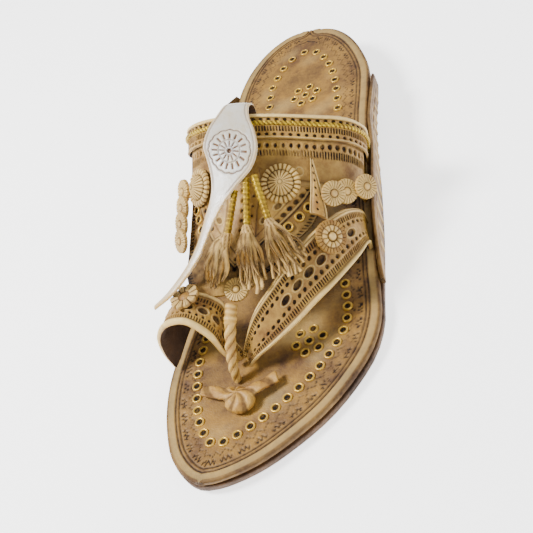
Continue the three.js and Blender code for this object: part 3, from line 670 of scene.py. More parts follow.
# Each finish: its name; its colour, shade, tooling-and-painted-shade and rubbed colours; roughness, depth of
# grain, the rest.
# A colour given as a word is one that the user sets.
FINISHES = {
    "hide": ("Tan sole hide", "hide", "hide_shade", "cut", "worn", 0.5, 0.3, {}),
    "pale": ("Beige upper hide", "pale", "pale_shade", "cut", "worn", 0.5, 0.32, {}),
    # The tongue's bluish white is a painted highlight; its leather is pale beige, nearer its tan shade.
    "tongue": ("Cream tongue hide", "tongue", "tongue_shade", (104, 64, 22), (204, 166, 98), 0.3, 0.25,
               {"blotches": 45.0}),
    "lining": ("Rough lining", "lining", (58, 40, 27), (24, 15, 10), "pale_shade", 0.8, 0.6,
               {"pores": 900.0}),
    "rope": ("Twisted rawhide", "rope", (136, 90, 28), (50, 26, 8), (232, 196, 118), 0.5, 0.4, {}),
    "gold": ("Gilt thread", "gold", (136, 100, 12), (30, 18, 4), (238, 208, 60), 0.36, 0.35,
             {"pores": 2600.0, "blotches": 160.0, "metal": 0.5}),
    "brass": ("Brass eyelet", (214, 160, 34), (150, 98, 14), (5, 3, 2), (246, 214, 110), 0.34, 0.15,
              {"metal": 0.55, "breakup": 900.0}),
    "tread": ("Dark tread leather", "edge", (56, 35, 17), (20, 12, 6), (140, 104, 58), 0.6, 0.5,
              {"pores": 1100.0}),
    "stack": ("Stacked heel leather", "edge", (54, 34, 17), (20, 12, 6), (140, 104, 58), 0.6, 0.5,
              {"pores": 1100.0, "layers": 95.0}),
    "strand": ("Fringe leather", (200, 154, 68), (104, 66, 20), (36, 19, 7), (230, 196, 122), 0.55, 0.4,
               {"pores": 2000.0, "blotches": 200.0}),
}


def finish_of(kind):
    """The material of one kind in the list of finishes."""
    chosen = bpy.context.scene.sandal_colours
    name, *colours, rough, depth, others = FINISHES[kind]
    tones = [tuple(getattr(chosen, c)) if isinstance(c, str) else linear(*c) for c in colours]
    return finish(name, *tones, rough, depth, **others)


def colour_choice(name, description, *screen):
    return FloatVectorProperty(
        name=name, description=description, subtype="COLOR", default=linear(*screen), min=0, max=1)


def depth_choice(name, description, default):
    return FloatProperty(
        name=name, description=description, default=default, min=0, max=0.002,
        subtype="DISTANCE", unit="LENGTH")


class SandalColours(bpy.types.PropertyGroup):
    """Colours of the leathers and trims."""
    hide: colour_choice("Sole hide", "Leather the foot stands on, and the side flaps", 166, 122, 42)
    hide_shade: colour_choice("Sole hide shade", "Darker blotches of the sole hide", 88, 56, 20)
    pale: colour_choice("Upper hide", "Straps, band and vamp", 202, 158, 66)
    pale_shade: colour_choice("Upper hide shade", "Darker blotches of the upper hide", 126, 84, 26)
    # Painted highlight: the tongue colour is bluish white, while the leather itself is pale beige like its
    # shade.
    tongue: colour_choice("Tongue", "Glossy leather of the tongue", 210, 218, 228)
    tongue_shade: colour_choice("Tongue shade", "Darker blotches of the tongue", 196, 184, 158)
    rope: colour_choice("Toe thong", "Rope between the toes", 206, 162, 72)
    gold: colour_choice("Gilt", "Gold cord and tubes", 194, 158, 14)
    edge: colour_choice("Sole edge", "Dressed edge of the tread and the heel", 104, 70, 34)
    lining: colour_choice("Lining", "Flesh side of the upper", 92, 66, 44)
    # The dark colour of tooling fills holes, slits and grooves, partly as painted shade in them, and is also
    # painted as shade beside edges, steps and openings.
    cut: colour_choice("Cut leather", "Inside punched holes, slits and grooves", 30, 17, 8)
    worn: colour_choice("Rubbed leather", "Raised edges polished by handling", 236, 204, 128)


class SandalSizes(bpy.types.PropertyGroup):
    """Depths of the hand tooling."""
    hole_depth: depth_choice("Hole depth", "Depth of the punched holes", 0.0009)
    slit_depth: depth_choice("Slit depth", "Depth of the fine cuts across the straps", 0.0005)
    roll_height: depth_choice("Rolled edge", "How far the rolled and folded edges stand proud", 0.0007)


def depths():
    """Hole, slit and rolled-edge sizes in millimetres."""
    s = bpy.context.scene.sandal_sizes
    return s.hole_depth * 1000, s.slit_depth * 1000, s.roll_height * 1000


# ------------------------------------------------------------------ the upper's faces
def upper_faces():
    """Outer faces of the band, its collar overlay, the vamp, the outer strap, the toe loop."""
    band = Leather(BAND)
    collar_rows = []
    for k in range(25):
        u = 0.03 + 0.94 * k / 24
        collar_rows.append([band.spot(u, v, OVERLAY + GAP + 0.2)[0] for v in (0, 0.22, COLLAR_REACH)])
    joins = [[band.spot(u, v, out)[0] for u in VAMP_RAILS] for v, out in ((0.5, 0.15), (0.9, 0.2))]
    return {
        "band": band,
        "collar": Leather(collar_rows),
        "vamp": Leather(joins + VAMP),
        "outer": Leather(OUTER_STRAP),
        "loop": Leather(TOE_LOOP),
    }


def tongue_face():
    """Outer face of the tongue. Its rows lie across the shoe at first, then across its own run."""
    rows = []
    for k, (x, y, z, half, tilt) in enumerate(TONGUE):
        before = np.array(TONGUE[max(0, k - 1)][:2])
        after = np.array(TONGUE[min(len(TONGUE) - 1, k + 1)][:2])
        run = (after - before) / max(1e-6, np.linalg.norm(after - before))
        side = np.array([1.0, 0, 0]) if k < 6 else np.array([-run[1], run[0], 0])
        row = []
        for s in (1, 0, -1):
            point = np.array([x, y, z]) + side * s * half
            point[2] += -s * tilt + 0.35 * (1 - s * s)
            row.append(point)
        rows.append(row)
    return Leather(rows)


def rolled_rim(t, low, high, height):
    """A folded or rolled edge between low and high."""
    return height * arch(t, (low + high) / 2, (high - low) / 2)


# ------------------------------------------------------------------ operators
class SANDAL_OT_stage(bpy.types.Operator):
    """Pale floor, soft lights and the camera"""
    bl_idname = "sandal.stage"
    bl_label = "Stage, lights and camera"

    def execute(self, context):
        deselect_all()
        bpy.ops.mesh.primitive_plane_add(size=6.0, location=(0, 0, -0.0005))
        floor = context.object
        floor.name = "floor"
        paper = bpy.data.materials.new("Pale floor")
        paper.use_nodes = True
        shader = paper.node_tree.nodes["Principled BSDF"]
        set_inputs(shader, {
            "Base Color": (0.93, 0.93, 0.93, 1), "Roughness": 0.9,
            "Emission Color": (1, 1, 1, 1), "Emission Strength": 2.0,
        })
        floor.data.materials.append(paper)
        world = bpy.data.worlds.get("World") or bpy.data.worlds.new("World")
        context.scene.world = world
        world.use_nodes = True
        set_inputs(world.node_tree.nodes["Background"], {"Color": (1, 1, 1, 1), "Strength": 0.34})
        lamps = (
            ("key_light", (-0.6, -0.25, 0.9), 0.3, 25.0),
            ("fill_light", (0.8, -0.5, 0.8), 0.9, 6.0),
            ("back_light", (0.1, 0.9, 0.8), 0.8, 6.0),
        )
        for name, place, size, power in lamps:
            bpy.ops.object.light_add(type="AREA", location=place)
            lamp = context.object
            lamp.name = name
            lamp.data.size = size
            lamp.data.energy = power
            toward = Vector((0, -0.02, 0.03)) - Vector(place)
            lamp.rotation_euler = toward.to_track_quat("-Z", "Y").to_euler()
        eye = Vector(EYE)
        forward = (Vector(AIM) - eye).normalized()
        level = forward.cross(Vector((0, 0, 1))).normalized()
        fall = forward.cross(level)
        roll = math.radians(ROLL)
        right = level * math.cos(roll) + fall * math.sin(roll)
        down = forward.cross(right)
        bpy.ops.object.camera_add(location=eye)
        camera = context.object
        camera.name = "camera"
        turn = Matrix((right, -down, -forward)).transposed()
        camera.matrix_world = Matrix.Translation(eye) @ turn.to_4x4()
        camera.data.sensor_width = 36
        camera.data.lens = LENS
        camera.data.clip_start = 0.01
        context.scene.camera = camera
        return {"FINISHED"}


def outline_points():
    """The sole's edge once round in close steps, and the run along it."""
    y = -SOLE_HALF * np.cos(np.linspace(0, np.pi, 700))
    left = np.stack([medial_x(y), y], axis=1)
    right = np.stack([lateral_x(y), y], axis=1)[::-1]
    edge = np.concatenate([left, right])
    return edge.astype(np.float32), run_of(edge)


def from_edge(x, y):
    """Distance in from the sole's edge, and the run of the nearest place on it."""
    edge, run = outline_points()
    far = np.empty(len(x))
    place = np.empty(len(x))
    for start in range(0, len(x), 6000):
        part = slice(start, start + 6000)
        dx = x[part, None].astype(np.float32) - edge[None, :, 0]
        dy = y[part, None].astype(np.float32) - edge[None, :, 1]
        square = dx * dx + dy * dy
        nearest = square.argmin(axis=1)
        far[part] = np.sqrt(square[np.arange(len(nearest)), nearest])
        place[part] = run[nearest]
    return far, place


def triangle(x):
    """Zigzag between -1 and 1 with period 1."""
    return 4 * np.abs(x - np.floor(x + 0.5)) - 1


class SANDAL_OT_sole(bpy.types.Operator):
    """Tooled footbed, wedge, tread and stacked heel"""
    bl_idname = "sandal.sole"
    bl_label = "Sole"

    def execute(self, context):
        top, under = 190, 8

        def shape(u, v):
            y = -SOLE_HALF * np.cos(np.pi * u)
            front, w = two_faced(v, top / (top + under))
            x0, x1 = medial_x(y), lateral_x(y)
            x = x0 + (x1 - x0) * w
            d, run = from_edge(x, y)
            d = np.where((w < 1e-6) | (w > 1 - 1e-6), 0, d)
            corner = np.clip(1 - d / 1.3, 0, 1)
            drop = 1.3 * (1 - np.sqrt(1 - corner ** 2))
            line = bell(d, 5.0, 0.42) + bell(d, 6.7, 0.42)
            beat = run / 9.4
            mark = np.abs(d - 9.2 - 1.1 * triangle(beat * 4))
            stamp = within(mark, 0.62, 0.5) * block(np.abs(beat - np.round(beat)), -1, 0.34, 0.05)
            dot_row = 12.9 + 1.1 * triangle(run / 6.2)
            stipple = within(np.hypot(d - dot_row, saw(run, 1.55)), 0.5)
            ground = uneven(np.stack([x, y, x * 0], axis=1), 14.0, 2.0)
            height = -0.45 * line - 0.4 * stamp - 0.3 * stipple + 0.12 * ground
            z = footbed_z(y) + np.where(front, height * np.clip(d / 2, 0, 1) - drop, drop - TOP_SOLE)
            stain = 0.26 * smooth(-ground * 1.6 + 0.05) * smooth((d - 6) / 10)
            # The footbed is painted darker towards its edge, strongly within about 2 mm and faintly further
            # in.
            dark = 0.85 * line + stamp + 0.75 * stipple + 0.5 * np.exp(-d / 1.6)
            dark = dark + 0.16 * np.exp(-d / 14) + stain
            rub = 0.2 * smooth((ground + 0.1) * 1.4) * smooth((d - 10) / 12) + 0.3 * block(d, 1.4, 4.4, 0.6)
            points, flat = np.stack([x, y, z], axis=1), np.stack([x, y], axis=1)
            return points, flat, np.where(front, dark, 0.3), np.where(front, rub, 0)

        footbed = rolled("footbed", 470, top + under, shape, ["hide"], angle=60)
        placed(footbed, "sole_leather", "top_sole")
        parts = (
            ("wedge", "midsole_wedge", "hide", "sole_leather"),
            ("tread", "outsole", "tread", "tread_leather"),
            ("heel_stack", "heel_block", "stack", "tread_leather"),
        )
        corner = math.radians(40)
        for name, node, kind, slot in parts:
            piece = copied(name, node, kind)
            applied(piece, "BEVEL", width=EDGE_BEVEL, segments=2, limit_method="ANGLE", angle_limit=corner)
            bpy.ops.object.shade_smooth_by_angle(angle=corner)
            placed(piece, slot, node)
        return {"FINISHED"}


class SANDAL_OT_flaps(bpy.types.Operator):
    """Side flaps of the waist, with their slots and laces"""
    bl_idname = "sandal.flaps"
    bl_label = "Side flaps"

    def execute(self, context):
        face, back = 36, 5
        slit = depths()[1]
        for side, sign, top, lean in (("lateral", 1, 1, 3), ("medial", -1, 2, 4)):
            def shape(u, v):
                y = FLAPS[0, 0] + (FLAPS[-1, 0] - FLAPS[0, 0]) * u
                front, w = two_faced(v, face / (face + back))
                edge = lateral_x(y) if sign > 0 else medial_x(y)
                wedge = 5.4 * smooth((y + 48) / 84) + 2 * GAP * smooth((y + 48) / 20)
                low = footbed_z(y) - TOP_SOLE - np.maximum(GAP, wedge) + GAP
                high = np.maximum(low + 2.2, np.interp(y, FLAPS[:, 0], FLAPS[:, top]))
                tall = high - low
                z = low + tall * w
                down = high - z
                spread = np.interp(y, FLAPS[:, 0], FLAPS[:, lean]) * smooth(w)
                near = np.clip(np.minimum(down, (z - low) + 0.4) / (WALL / 2), 0, 1)
                swell = WALL / 2 * arch(near, 1, 1)
                slots = block(down, 5.2, 6.2, 0.4) * block(saw(y, 8.0), -1, 2.4, 0.6)
                lace = block(saw(y + 4.0, 8.0), -1, 1.0, 0.6) * block(down, 5.6, 40, 0.8)
                line = bell(down, 2.6, 0.4)
                room = smooth((tall - 9) / 4)
                height = room * (-slit * slots * 1.4 - 0.3 * line + 0.45 * lace)
                out = WALL / 2 + np.where(front, swell + height * np.clip(down / 0.8, 0, 1), -swell)
                x = edge + sign * (GAP + 0.1 + spread + out)
                dark = room * (0.95 * slots + 0.7 * line)
                # Painted shade along the flap's top edge under the upper, and along its foot on the sole.
                dark = dark + 0.5 * np.exp(-down / 0.9) + 0.3 * np.exp(-(z - low) / 1.2)
                points, flat = np.stack([x, y, z], axis=1), np.stack([y, z], axis=1)
                return points, flat, np.where(front, dark, 0.35), np.where(front, 0.5 * room * lace, 0)

            piece = rolled("side_flap_" + side + "_leather", 330, face + back, shape, ["hide"])
            placed(piece, "sole_leather", "side_flap_" + side)
        return {"FINISHED"}


def collar_detail(s, t, width, along, across):
    """Rolled rim, punched rows and fine cuts of the collar overlay."""
    hole, slit, roll = depths()
    row = COLLAR_WIDE * across
    points = holes(s, row, 3.9, LONG_STITCH, 0.92) + holes(s, row, 12.5, LONG_STITCH, 0.85, 1.8)
    cuts = slits(s, row, 7.9, 10.8, FINE_CUT, 0.4)
    ridge = bell(row, 13.9, 0.35)
    channel = bell(row, COLLAR_CHANNEL, 1.1)
    height = rolled_rim(row, 0.1, 2.7, roll) - hole * points - slit * cuts - 0.3 * channel + 0.25 * ridge
    dark = points + cuts + 0.6 * bell(row, 2.9, 0.35) + 0.35 * channel
    # Painted shade along the overlay's front edge, where it steps down onto the band.
    dark = dark + 0.8 * np.exp(-(COLLAR_WIDE - row) / 0.5)
    dark = dark + 0.16 * block(row, 2.9, 13.4, 0.6)
    return height, dark, 0.8 * rolled_rim(row, 0.2, 2.6, 1.0) + 0.5 * ridge


def band_detail(s, t, width, along, across):
    """Punched row and fine cuts just in front of the overlay, then plain leather."""
    hole, slit, roll = depths()
    under = COLLAR_WIDE * across / COLLAR_REACH
    row = np.where(across < COLLAR_REACH, under, COLLAR_WIDE + (across - COLLAR_REACH) * width)
    points = holes(s, row, 17.4, LONG_STITCH, 1.1)
    cuts = slits(s, row, 19.3, 22.0, FINE_CUT, 0.4)
    front = width - t
    rim = rolled_rim(front, 0.2, 2.4, roll * 0.6)
    # At row 15 a painted shadow of the collar overlay's front edge lies on the band, beside the tooling.
    dark = points + cuts + 0.4 * bell(front, 2.7, 0.35) + 0.7 * np.exp(-np.abs(row - 15) / 0.8)
    dark = dark + 0.3 * block(row, 18.6, 34, 2)
    return rim - hole * points - slit * cuts, dark, 0.4 * rim / max(roll, 0.01)


def ovals(s, across, places, long_half, short_half):
    """Sunk ovals at places along a strap: 1 inside each, and its raised lip."""
    inside, lip = 0, 0
    for place in places:
        far = np.hypot((s - place) / long_half, across / short_half)
        inside = inside + within(far, 1, 0.25)
        lip = lip + bell(far, 1.25, 0.16)
    return inside, lip


def outer_detail(s, t, width, along, across):
    """Outer strap: folded rims, two punched rows, fine cuts and a line of sunk ovals."""
    hole, slit, roll = depths()
    row = STRAP_WIDE * (1 - across)
    points = holes(s, row, 7.6, LONG_STITCH, 0.95) + holes(s, row, 16.0, LONG_STITCH, 0.95, 1.8)
    cuts = slits(s, row, 3.2, 5.8, FINE_CUT, 0.4) + slits(s, row, 18.0, 20.6, FINE_CUT, 0.4)
    body = block(s, 8, 200, 3)
    plug, ring = ovals(s, row - 12.0, (21.9, 42.4, 50.1, 57.6, 65.8), 2.5, 1.7)
    folds = rolled_rim(row, 0.0, 1.3, roll) + rolled_rim(row, 1.3, 2.7, roll * 0.8)
    folds = folds + rolled_rim(row, 21.4, STRAP_WIDE, roll * 1.2)
    height = folds + body * (-hole * points - slit * cuts) - 0.9 * plug + 0.25 * ring
    dark = body * (points + cuts) + 0.72 * plug + 0.6 * bell(row, 2.9, 0.35) + 0.7 * bell(row, 21.2, 0.4)
    dark = dark + 0.5 * bell(row, 1.3, 0.25) + 0.22 * block(row, 6, 17.4, 1)
    return height, dark, folds / max(roll, 0.01) * 0.6 + 0.4 * ring


def loop_detail(s, t, width, along, across):
    """Toe loop: broad folded front rim, fine cuts, punched rows and sunk ovals."""
    hole, slit, roll = depths()
    row = LOOP_WIDE * across
    points = holes(s, row, 7.0, 3.2, 0.65) + holes(s, row, 13.0, 3.2, 0.65, 1.6)
    cuts = slits(s, row, 3.8, 5.8, FINE_CUT, 0.32) + slits(s, row, 14.4, 16.6, FINE_CUT, 0.32)
    plug, ring = ovals(s, row - 10.0, (15.2, 22.6, 29.9, 37.2, 52, 60), 2.3, 1.5)
    folds = rolled_rim(row, 0.0, 3.0, roll * 1.3) + rolled_rim(row, 17.6, LOOP_WIDE, roll)
    dark = points + cuts + 0.75 * plug + 0.7 * bell(row, 3.3, 0.35) + 0.6 * bell(row, 17.4, 0.35)
    dark = dark + 0.15 * block(row, 3.4, 17.2, 0.6)
    height = folds - hole * points - slit * cuts - 0.8 * plug + 0.25 * ring
    return height, dark, folds / max(roll, 0.01) * 0.7 + 0.3 * ring


# Tooling of each side of the vamp: distance from the collar side, distance in from the strap's edge.
SIDE_DOTS = [
    [15.7, 5.6], [19.1, 7.6], [22.5, 9.3], [25.4, 10.8],
    [28.4, 12.1], [31.4, 13.2], [34.4, 14.3], [37.4, 15.4],
]
SIDE_PLUGS = [[12.7, 12.4], [28.0, 17.2], [34.5, 20.4]]
SIDE_EYELETS = [[26.8, 5.0], [31.2, 6.8], [36.2, 8.6]]


def dots(s, t, places, radius):
    """Round spots at the given places: 1 inside each."""
    inside = 0
    for along, across in places:
        inside = inside + within(np.hypot(s - along, t - across), radius)
    return inside


def vamp_detail(s, t, width, along, across):
    """Vamp: the band's rows carried over it, and on each side a folded strip with holes and plugs."""
    hole, slit, roll = depths()
    points = holes(t, s, 1.7, LONG_STITCH, 1.1)
    cuts = slits(t, s, 3.5, 6.1, FINE_CUT, 0.4)
    side = np.minimum(t, width - t)
    below = block(s, 11, 62, 1.5)
    fold = side - 8.3 - 0.386 * (s - 26)
    strip = smooth(-fold / 0.5) * below
    crease = (bell(fold, 0, 0.45) + 0.6 * bell(fold, 1.5, 0.3) + 0.6 * bell(fold, 5.6, 0.3)) * below
    small = dots(s, side, SIDE_DOTS, 1.1)
    big = dots(s, side, SIDE_PLUGS, 1.5)
    lip = dots(s, side, SIDE_PLUGS, 2.1) - big
    centre = holes(s, t, width * 0.5, 4.4, 0.8) * block(s, 16, 58, 1)
    centre = centre + holes(s, t, width * 0.5 - 5, 4.4, 0.6, 2.2) * block(s, 20, 58, 1)
    panel = bell(np.abs(t - width * 0.5), 7.6, 0.4) * block(s, 12, 60, 1)
    fringe = slits(s, side, 1.2, 3.0, 1.5, 0.34) * block(s, 16, 62, 1)
    rim = rolled_rim(side, 0.1, 1.1, roll * 0.4) * below
    height = rim - hole * (points + small + centre) - slit * (cuts + fringe) - 0.55 * strip - 0.35 * crease
    height = height - 0.4 * big + 0.3 * lip - 0.3 * panel
    dark = points + cuts + small + 0.7 * big + 0.36 * strip + 1.1 * crease + centre + 0.6 * panel
    # Painted shade where the vamp comes out from under the band, towards the opening by the outer strap, and
    # along its side edges.
    dark = dark + 0.7 * fringe + 0.3 * block(s, 6.4, 14, 2) + 0.38 * smooth((s - 34) / 16)
    dark = dark + 0.5 * np.exp(-side / 1.2) * below
    rubbed = 0.6 * lip + 0.4 * rim + 0.25 * block(fold, 0.4, 1.4, 0.3) * below
    return height, dark, rubbed


class SANDAL_OT_band(bpy.types.Operator):
    """Instep band, its collar overlay and the gold cord laid in it"""
    bl_idname = "sandal.band"
    bl_label = "Instep band"

    def execute(self, context):
        faces = upper_faces()
        band = leather_piece("instep_band", faces["band"], 600, 72, band_detail)
        placed(band, "upper_leather", "upper")
        collar = leather_piece("collar_overlay", faces["collar"], 640, 60, collar_detail, wall=OVERLAY)
        placed(collar, "upper_leather", "collar_strip")
        steps = np.linspace(0.015, 0.985, 60)
        path = faces["collar"].at(steps, np.full(60, COLLAR_CHANNEL / COLLAR_WIDE), 0.35)

        def plait(s, a):
            scale = 1 + 0.16 * np.cos(2 * (a - s * 1.5)) + 0.05 * np.cos(2 * (a + s * 3.0))
            return scale, 0.55 * (scale < 0.93), 0.5 * (scale > 1.1)

        cord = tube("gold_collar_cord", path, 0.95, 10, 620, "gold", plait)
        placed(cord, "gold_wire")
        return {"FINISHED"}


class SANDAL_OT_vamp(bpy.types.Operator):
    """Vamp in front of the band"""
    bl_idname = "sandal.vamp"
    bl_label = "Vamp"

    def execute(self, context):
        face = upper_faces()["vamp"]
        piece = leather_piece("vamp_leather", face, 180, 150, vamp_detail)
        placed(piece, "upper_leather", "upper")
        return {"FINISHED"}


class SANDAL_OT_straps(bpy.types.Operator):
    """Outer strap from the waist to the thong, and the loop over the big toe"""
    bl_idname = "sandal.straps"
    bl_label = "Outer strap and toe loop"

    def execute(self, context):
        faces = upper_faces()
        outer = leather_piece("outer_strap", faces["outer"], 400, 76, outer_detail)
        placed(outer, "upper_leather", "upper")
        loop = leather_piece("toe_loop", faces["loop"], 320, 68, loop_detail)
        placed(loop, "upper_leather", "upper")
        return {"FINISHED"}


class SANDAL_OT_tongue(bpy.types.Operator):
    """Tongue over the collar with its engraved rosette and long tail"""
    bl_idname = "sandal.tongue"
    bl_label = "Tongue"

    def execute(self, context):
        face = tongue_face()
        fine = np.linspace(0, 1, 401)
        middle = face.at(fine, np.full(401, 0.5))
        best = fine[np.argmin(np.linalg.norm(middle - np.array([12.4, -15.8, 66.8]), axis=1))]
        centre_s = face.along(np.array([best]))[0]

        def detail(s, t, width, along, across):
            x, y = t - width / 2, s - centre_s
            r, a = np.hypot(x, y), np.arctan2(y, x)
            scallop = bell(r, 9.5 + 0.45 * np.abs(np.cos(8 * a)), 0.3)
            slot = within(np.abs(np.sin(8 * a)) * r / 8, 0.42, 0.3) * block(r, 5.6, 8.2, 0.4)
            rays = within(np.abs(np.sin(6 * a)) * r / 6, 0.3, 0.24) * block(r, 2.2, 4.6, 0.4)
            eye = within(r, 1.1, 0.35)
            inner = bell(r, 5.1, 0.25) + bell(r, 1.9, 0.25)
            edge = np.minimum(t, width - t)
            rim = bell(edge, 1.5, 0.35) * smooth((width - 9) / 4)
            height = -0.35 * scallop - 0.4 * slot - 0.35 * rays - 0.9 * eye - 0.3 * inner - 0.2 * rim
            dark = 0.75 * scallop + 0.8 * slot + 0.7 * rays + eye + 0.5 * inner + 0.35 * rim
            # The edges and the tail are rubbed to tan, the leather's own colour; the rest keeps the painted
            # highlight.
            return 1.3 * height, 1.35 * dark, np.exp(-edge / 1.1) + 0.35 * smooth((along - 0.62) / 0.2)

        leaf = leather_piece("tongue_leaf", face, 420, 90, detail, kind="tongue", wall=1.6, back=6)
        placed(leaf, "tongue_leather", "tongue")
        return {"FINISHED"}


class SANDAL_OT_thong(bpy.types.Operator):
    """Twisted toe thong, its knot and the folded arrow strip"""
    bl_idname = "sandal.thong"
    bl_label = "Toe thong and knot"

    def execute(self, context):
        path = [[10.4, -68.8, 27.6], [9.8, -75.4, 23.6], [8.8, -83.4, 16], [7.8, -89, 7], [7.5, -90.6, 1.2]]

        def twist(s, a):
            lobe = np.abs(np.cos(1.5 * (a - s * 0.42)))
            wrap = smooth((9.0 - s) / 1.2)
            wound = np.abs(np.sin(s * 1.25))
            lobe = lobe * (1 - wrap) + (0.35 + 0.65 * wound) * wrap
            scale = 0.72 + 0.17 * lobe + 0.04 * np.sin(s * 1.1) + 0.06 * wrap
            return scale, 0.9 * (1 - smooth(lobe * 3.2)), 0.5 * lobe ** 4

        rope = tube("toe_rope", path, [2.8, 3.0, 2.8, 2.5, 2.2], 36, 150, "rope", twist)
        placed(rope, "thong_leather", "toe_thong")
        changes = (
            ("REMESH", {"mode": "VOXEL", "voxel_size": 0.0005}),
            ("SMOOTH", {"factor": 0.5, "iterations": 5}),
        )
        knot = copied("thong_bow", "thong_knot", "rope", angle=60, changes=changes)
        points = to_last(vertex_places(knot.data))
        away = points - np.array([11.0, -99.5, 0.0])
        angle = np.arctan2(away[:, 1], away[:, 0])
        fold = np.sin(angle * 7 + np.hypot(away[:, 0], away[:, 1]) * 0.55)
        lift = 0.34 * fold * smooth((points[:, 2] - 1.5) / 2) + 0.15 * uneven(points, 1.6, 3.0)
        points[:, 2] += np.where(points[:, 2] > 1.0, lift, 0)
        knot.data.vertices.foreach_set("co", to_frame(points).ravel())
        # Painted shade in the troughs of the knot's folds.
        cuts = knot.data.attributes.new("punched", "FLOAT", "POINT")
        cuts.data.foreach_set("value", np.clip(0.7 * smooth(-fold * 1.6 - 0.3), 0, 1).astype(np.float32))
        knot.data.update()
        placed(knot, "thong_leather", "thong_knot")
        rows = [
            [[43.8, -8.0, 48.8], [43.0, -7.8, 49.5], [42.2, -7.6, 49.6]],
            [[46.8, -17.8, 41.4], [44.6, -17.4, 43.4], [42.2, -17, 44.0]],
            [[49.6, -26.8, 36.6], [46.0, -26.2, 39.4], [42.4, -25.6, 40.2]],
            [[50.6, -31.6, 35.0], [47.0, -31, 38.2], [43.0, -30.4, 39.2]],
        ]

        def detail(s, t, width, along, across):
            edge = np.minimum(t, width - t)
            line = bell(edge, 1.2, 0.3)
            points = holes(s, t, width * 0.5, 3.4, 0.6)
            return -0.3 * line - 0.6 * points, 0.7 * line + points, 0.6 * np.exp(-edge)

        arrow = leather_piece("arrow_fold", Leather(rows), 90, 36, detail, wall=1.8)
        placed(arrow, "upper_leather", "arrow_strip")
        return {"FINISHED"}


def dome_face(r, a):
    """Ribbed dome in a ring of beads."""
    bead = np.abs(np.cos(12 * a))
    outer = 1.0 + arch(r, 0.83, 0.17) * (0.55 + 0.75 * bead)
    rib = np.abs(np.cos(9 * a))
    inside = 1.6 + 4.0 * (1 - (np.clip(r, 0, 0.66) / 0.66) ** 1.6) + 0.4 * rib * np.clip(r / 0.4, 0, 1)
    between = 0.95 * (1 - smooth(rib * 2.0)) * np.clip(r / 0.25, 0, 1)
    dark = np.where(r > 0.66, 0.9 * (1 - smooth(bead * 2.2)), between)
    dark = dark + 0.8 * bell(r, 0.665, 0.03) + 0.8 * bell(r, 0.12, 0.03)
    edge = 1 + 0.035 * (bead - 0.5) * (r > 0.8)
    return np.where(r > 0.66, outer, inside), edge, dark, 0.7 * np.where(r > 0.66, bead ** 2, rib ** 2)


def coin_face(r, a):
    """Flat disc with a low boss and cuts running out to its edge."""
    cut = 1 - smooth(np.abs(np.cos(11 * a)) * 2.4)
    rim = block(r, 0.34, 1.1, 0.06)
    boss = 0.45 * np.clip(1 - (r / 0.3) ** 2, 0, 1)
    height = 1.4 + 0.35 * (1 - r ** 2) + boss - 0.5 * cut * rim - 0.25 * bell(r, 0.32, 0.05)
    edge = 1.02 + 0.04 * np.abs(np.cos(11 * a)) * (r > 0.8)
    dark = 0.95 * cut * rim + 0.8 * bell(r, 0.32, 0.045) + 0.5 * block(r, 0.97, 1.2, 0.04)
    return height, edge, dark, 0.4 * (1 - cut) * rim + boss


def flower_face(r, a):
    """Round boss in cupped petals, with a rim of radial cuts."""
    cut = 1 - smooth(np.abs(np.cos(13 * a)) * 2.6)
    petal = np.abs(np.cos(6 * a))
    rim = block(r, 0.68, 1.1, 0.05)
    cup = 0.9 * arch(r, 0.5, 0.18) * (0.45 + 0.55 * petal)
    boss = 1.5 * arch(r, 0, 0.26)
    edge = 1 + 0.03 * np.abs(np.cos(13 * a)) * (r > 0.8)
    dark = 0.85 * cut * rim + 0.8 * bell(r, 0.69, 0.03) + 0.7 * bell(r, 0.3, 0.04)
    dark = dark + 0.6 * (petal < 0.25) * block(r, 0.34, 0.66, 0.05)
    rubbed = 0.5 * petal * block(r, 0.35, 0.65, 0.1) + 0.4 * boss
    return 1.5 + cup + boss - 0.4 * cut * rim, edge, dark, rubbed


def leaf_face(r, a):
    """Ten veined leaves round a low boss."""
    leaf = np.abs(np.cos(5 * a))
    vein = 1 - smooth(np.abs(np.sin(5 * a)) * 5)
    ring = block(r, 0.42, 1.1, 0.08)
    height = 1.1 + 0.5 * leaf * ring - 0.3 * vein * ring + 0.6 * np.clip(1 - (r / 0.3) ** 2, 0, 1)
    dark = 0.6 * vein * ring + 0.85 * (leaf < 0.28) * ring + 0.8 * bell(r, 0.38, 0.04)
    return height, 1 + 0.12 * (leaf - 0.5) * (r > 0.75), dark, 0.55 * leaf * ring


class SANDAL_OT_ornaments(bpy.types.Operator):
    """Domes, overlapping coins, flower stud, toe rosette and thong button"""
    bl_idname = "sandal.ornaments"
    bl_label = "Leather ornaments"

    def execute(self, context):
        work = [
            ("dome_lateral", "dome_rosette_lateral", 8.7, 192, 44, dome_face),
            ("dome_medial", "dome_rosette_medial", 8.7, 192, 44, dome_face),
            ("toe_leaf_rosette", "toe_rosette", 6.6, 160, 30, leaf_face),
            ("flower", "flower_stud", 7.3, 208, 36, flower_face),
            ("button", "thong_button", 5.2, 144, 24, coin_face),
        ]
        work += [(f"coin_outer_{k}", f"coin_lateral_{k}", 5.4, 144, 26, coin_face) for k in (1, 2, 3)]
        work += [(f"coin_inner_{k}", f"coin_medial_{k}", 5.4, 144, 26, coin_face) for k in (1, 2, 3, 4)]
        for name, node, radius, sides, rings, face in work:
            piece = disc(name, seat_of(node), radius, sides, rings, "pale", face)
            placed(piece, "ornament_leather", node)
        return {"FINISHED"}


